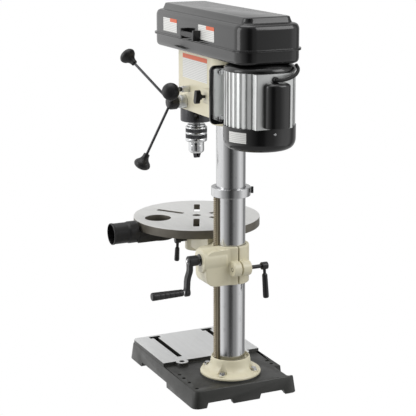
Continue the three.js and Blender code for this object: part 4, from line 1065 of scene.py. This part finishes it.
def guard():
    bottom, seam, top = COVER["bottom"], COVER["seam"], COVER["top"]
    rim = seam - 0.3
    tray = shell("belt_guard_tray_fine", [(9, bottom + 3), (4, bottom + 6, 3), (3, bottom + 12),
        (3, rim, 0.2), (-5, rim, 0.8), (-5, rim - 2.6, 0.8), (0, rim - 2.6, 0.6), (0, bottom + 11, 3),
        (1.2, bottom + 5, 3), (4, bottom + 1.5, 2), (8, bottom)])
    lid_ways = [box("lid_way", -98, -86.2, y + 19.3, y + 40, rim - 8, rim + 1) for y in HINGE_SPOTS]
    cut(tray, shifted(rod("spindle_way", 26, bottom - 1, bottom + 8, 64), 0, SPINDLE_Y),
        prism("motor_way", corner_outline(-30, 30, MOTOR_Y - 48, MOTOR_Y + 40, 28), bottom - 1, bottom + 8),
        *lid_ways)
    stand_for(tray, "belt_guard_tray")
    lid = shell("belt_guard_lid_fine", [(27, top - 3), (24, top - 4, 2), (21, top - 17.5, 2),
        (8, top - 20, 3), (3, top - 31, 5), (3, seam, 0.2), (-5, seam, 0.8), (-5, seam + 2.6, 0.8),
        (0, seam + 2.6, 0.6), (0, top - 27, 6), (3.5, top - 19, 5), (9, top - 16, 3), (17, top - 14.8, 2),
        (20.5, top - 7, 3), (22.5, top - 1, 3), (27, top, 0)])
    tray_ways = [box("tray_way", -98, -86.2, y - 1.3, y + 19.3, seam - 1, seam + 9) for y in HINGE_SPOTS]
    cut(lid, *tray_ways)
    stand_for(lid, "belt_guard_lid")
    for i, y in enumerate(HINGE_SPOTS, 1):
        for body, start, z0, z1 in (("machine_frame", 0, HINGE_Z - 5, rim),
                ("lid", 19.5, HINGE_Z, HINGE_Z + 5)):
            barrel = spun(f"hinge_barrel_{body}_{i}", [(3.3, 0), (5.5, 0), (5.5, 19), (3.3, 19)], 48, 0.5,
                3, closed=True)
            shifted(along_y(barrel), HINGE_X, y + start, HINGE_Z)
            leaf = box("leaf", HINGE_X + 4.5, -82.6, y + start, y + start + 19, z0, z1)
            fuse(barrel, leaf)
            detail(barrel, body, "black_paint")
        pin = along_y(spun(f"hinge_pin_{i}_fine", [(AXIS, -2), (4.5, -2), (4.5, -0.4), (3, -0.4), (3, 39),
            (AXIS, 39)], 40, 0.5, 3))
        stand_for(shifted(pin, HINGE_X, y, HINGE_Z), f"hinge_pin_{i}")
    stand_for(cast(copy_of("lid_pull"), 0.9, 3), "lid_pull", None, 60)


def label(name, x, y0, y1, z0, z1, header, body, header_from=None):
    plate = turned(turned(prism(name, corner_outline(y0, y1, z0, z1, 2.2, 5), x, x + 0.35), 90, "X"), 90, "Z")
    detail(plate, body, "cream_paint", label_paper(name, z1, header, header_from))


def labels():
    side = COVER["half"] + 0.05
    label("cover_label_front", side, -223, -139, 899, 933, 9, "lid", -181)
    label("cover_label_rear", side, -12, 77, 898, 933, 9, "lid", 32)
    label("head_label", 45.05, -187, -42, 783, 844, 11, "machine_frame")


guard()
labels()


# ------------------------------------------------------------------ motor

def housing():
    ribs, depth = 36, 4.5
    outline = []
    for i in range(ribs):
        for share, low in ((0.06, 1), (0.30, 1), (0.36, 0.85), (0.41, 0.25), (0.47, 0), (0.62, 0),
                (0.87, 0), (0.93, 0.25), (0.98, 0.85)):
            a = TAU * (i + share) / ribs
            outline.append(((MOTOR_RADIUS - depth * low) * math.cos(a),
                (MOTOR_RADIUS - depth * low) * math.sin(a)))
    body = prism("motor_housing_fine", outline, BODY_BOTTOM, BODY_TOP)
    flat = prism("flat", corner_outline(-43, 52, 40, 84, 3, 5), BODY_BOTTOM, BODY_TOP)
    foot_y = 60 - MOTOR_Y
    foot = turned(prism("foot", corner_outline(-78, 78, BODY_BOTTOM, 835, 5, 6), -foot_y - 9, -foot_y), 90,
        "X")
    webs = [box("web", side * 44 - 5, side * 44 + 5, foot_y + 2, -50, BODY_BOTTOM,
        BODY_TOP) for side in (-1, 1)]
    fuse(body, flat, foot, *webs)
    cut(body, rod("stator_bore", 70, BODY_BOTTOM - 1, BODY_TOP + 1, 96))
    stand_for(shifted(body, 0, MOTOR_Y), "motor_housing", None, 30)


def bells():
    z = BODY_TOP + 0.3
    top = spun("motor_top_bell_fine", [(10, z), (84.5, z, 0.5), (84.5, z + 5, 3), (81, z + 11, 4),
        (72, z + 15.5, 4), (60, 857), (10, 857)], 144, 1, 5, closed=True)
    stand_for(shifted(top, 0, MOTOR_Y), "motor_top_bell")
    z, bottom = BODY_BOTTOM - 0.3, 654
    low = spun("motor_bottom_bell_fine", [(66, z), (66, bottom + 8), (0.5, bottom + 6), (0.5, bottom),
        (58, bottom, 6), (72, bottom + 2, 8), (80, bottom + 8, 8), (84.5, bottom + 17, 8),
        (85.5, bottom + 26, 6), (85.5, z, 1)], 144, 1, 6, closed=True)
    stand_for(shifted(low, 0, MOTOR_Y), "motor_bottom_bell")


def capacitor():
    y0 = 84.3

    def section(inset, z):
        arc = []
        for k in range(41):
            a = math.pi * k / 40
            arc.append((1.5 + (31.5 - inset) * math.cos(a), y0 + 5 + (23 - inset) * math.sin(a) ** 0.8, z))
        return [(33 - inset, y0, z), *arc, (inset - 30, y0, z)]
    steps = fillet([(4, 716), (0, 716, 2), (0, 814, 6), (5, 818.5, 4), (13, 820)], 2, 6)
    cover = loft("capacitor_cover_fine", [section(inset, z) for inset, z in steps])
    stand_for(shifted(cover, 0, MOTOR_Y), "capacitor_cover", None, 40)


def bell_fittings():
    """A rating label round the bottom bell's side and one bright screw at its back."""
    radius, start, end, low, high = 85.55, 8, 42, 678, 703
    points, faces = [], []
    for k in range(25):
        a = math.radians(start + (end - start) * k / 24)
        for r, z in ((radius, low), (radius + 0.3, low), (radius + 0.3, high), (radius, high)):
            points.append((r * math.cos(a), r * math.sin(a), z))
    for k in range(24):
        for j in range(4):
            m = (j + 1) % 4
            faces.append((4 * k + j, 4 * k + m, 4 * k + 4 + m, 4 * k + 4 + j))
    faces += [(0, 1, 2, 3), (99, 98, 97, 96)]
    paper = label_paper("rating_label", high, 0)
    detail(shifted(new_object("rating_label", points, faces), 0, MOTOR_Y), "motor", "cream_paint", paper)
    screw = shifted(turned(pan_screw("bell_screw", 3.2, 1.8), -90, "X"), 4, MOTOR_Y + 85.4, 700)
    detail(screw, "motor", "polished_steel")


def motor_mount():
    refine("motor_plate", 1.0)
    for side, name in ((1, "right"), (-1, "left")):
        profile = fillet([(AXIS, -10), (9, -10, 1.5), (9, 51.7), (AXIS, 51.7)], 0.4, 3)
        bar = along_y(lathe(f"slide_bar_{name}_fine", profile, 56))
        stand_for(shifted(bar, side * BAR_X, 0, BAR_Z), f"slide_bar_{name}")
    for i, (x, z) in enumerate(MOTOR_BOLTS, 1):
        bolt = turned(hex_head(f"motor_bolt_{i}", 12, 5, (8, 1.2)), -90, "X")
        detail(shifted(bolt, x, 70.4, z), "motor", "polished_steel")
        nut = turned(hex_head(f"motor_nut_{i}", 12, 5, (8, 1.2)), 90, "X")
        detail(shifted(nut, x, 50.6, z), "motor", "polished_steel")


def lead():
    steps = 6
    points = [Vector(p) for p in LEAD]
    path = []
    for i in range(len(points) - 1):
        p0, p1 = points[max(i - 1, 0)], points[i]
        p2, p3 = points[i + 1], points[min(i + 2, len(points) - 1)]
        for k in range(steps):
            t = k / steps
            path.append(0.5 * (2 * p1 + (p2 - p0) * t + (2 * p0 - 5 * p1 + 4 * p2 - p3) * t ** 2
                               + (3 * p1 - p0 - 3 * p2 + p3) * t ** 3))
    path.append(points[-1])
    rings, up = [], Vector((0, 0, 1))
    for i, p in enumerate(path):
        along = (path[min(i + 1, len(path) - 1)] - path[max(i - 1, 0)]).normalized()
        side = along.cross(up).normalized()
        rise = side.cross(along).normalized()
        turns = [TAU * k / 20 for k in range(20)]
        rings.append([p + side * (4 * math.cos(a)) + rise * (4 * math.sin(a)) for a in turns])
    stand_for(loft("motor_lead_fine", rings), "motor_lead")
    gland = along_y(spun("lead_gland", [(4.3, 236), (7.5, 236), (7.5, 240), (5.6, 244), (4.3, 244)], 40,
        0.6, 3, closed=True))
    detail(shifted(gland, 4, 0, 826), "motor", "black_plastic")


housing()
bells()
capacitor()
bell_fittings()
motor_mount()
lead()
dress("motor_rotor")
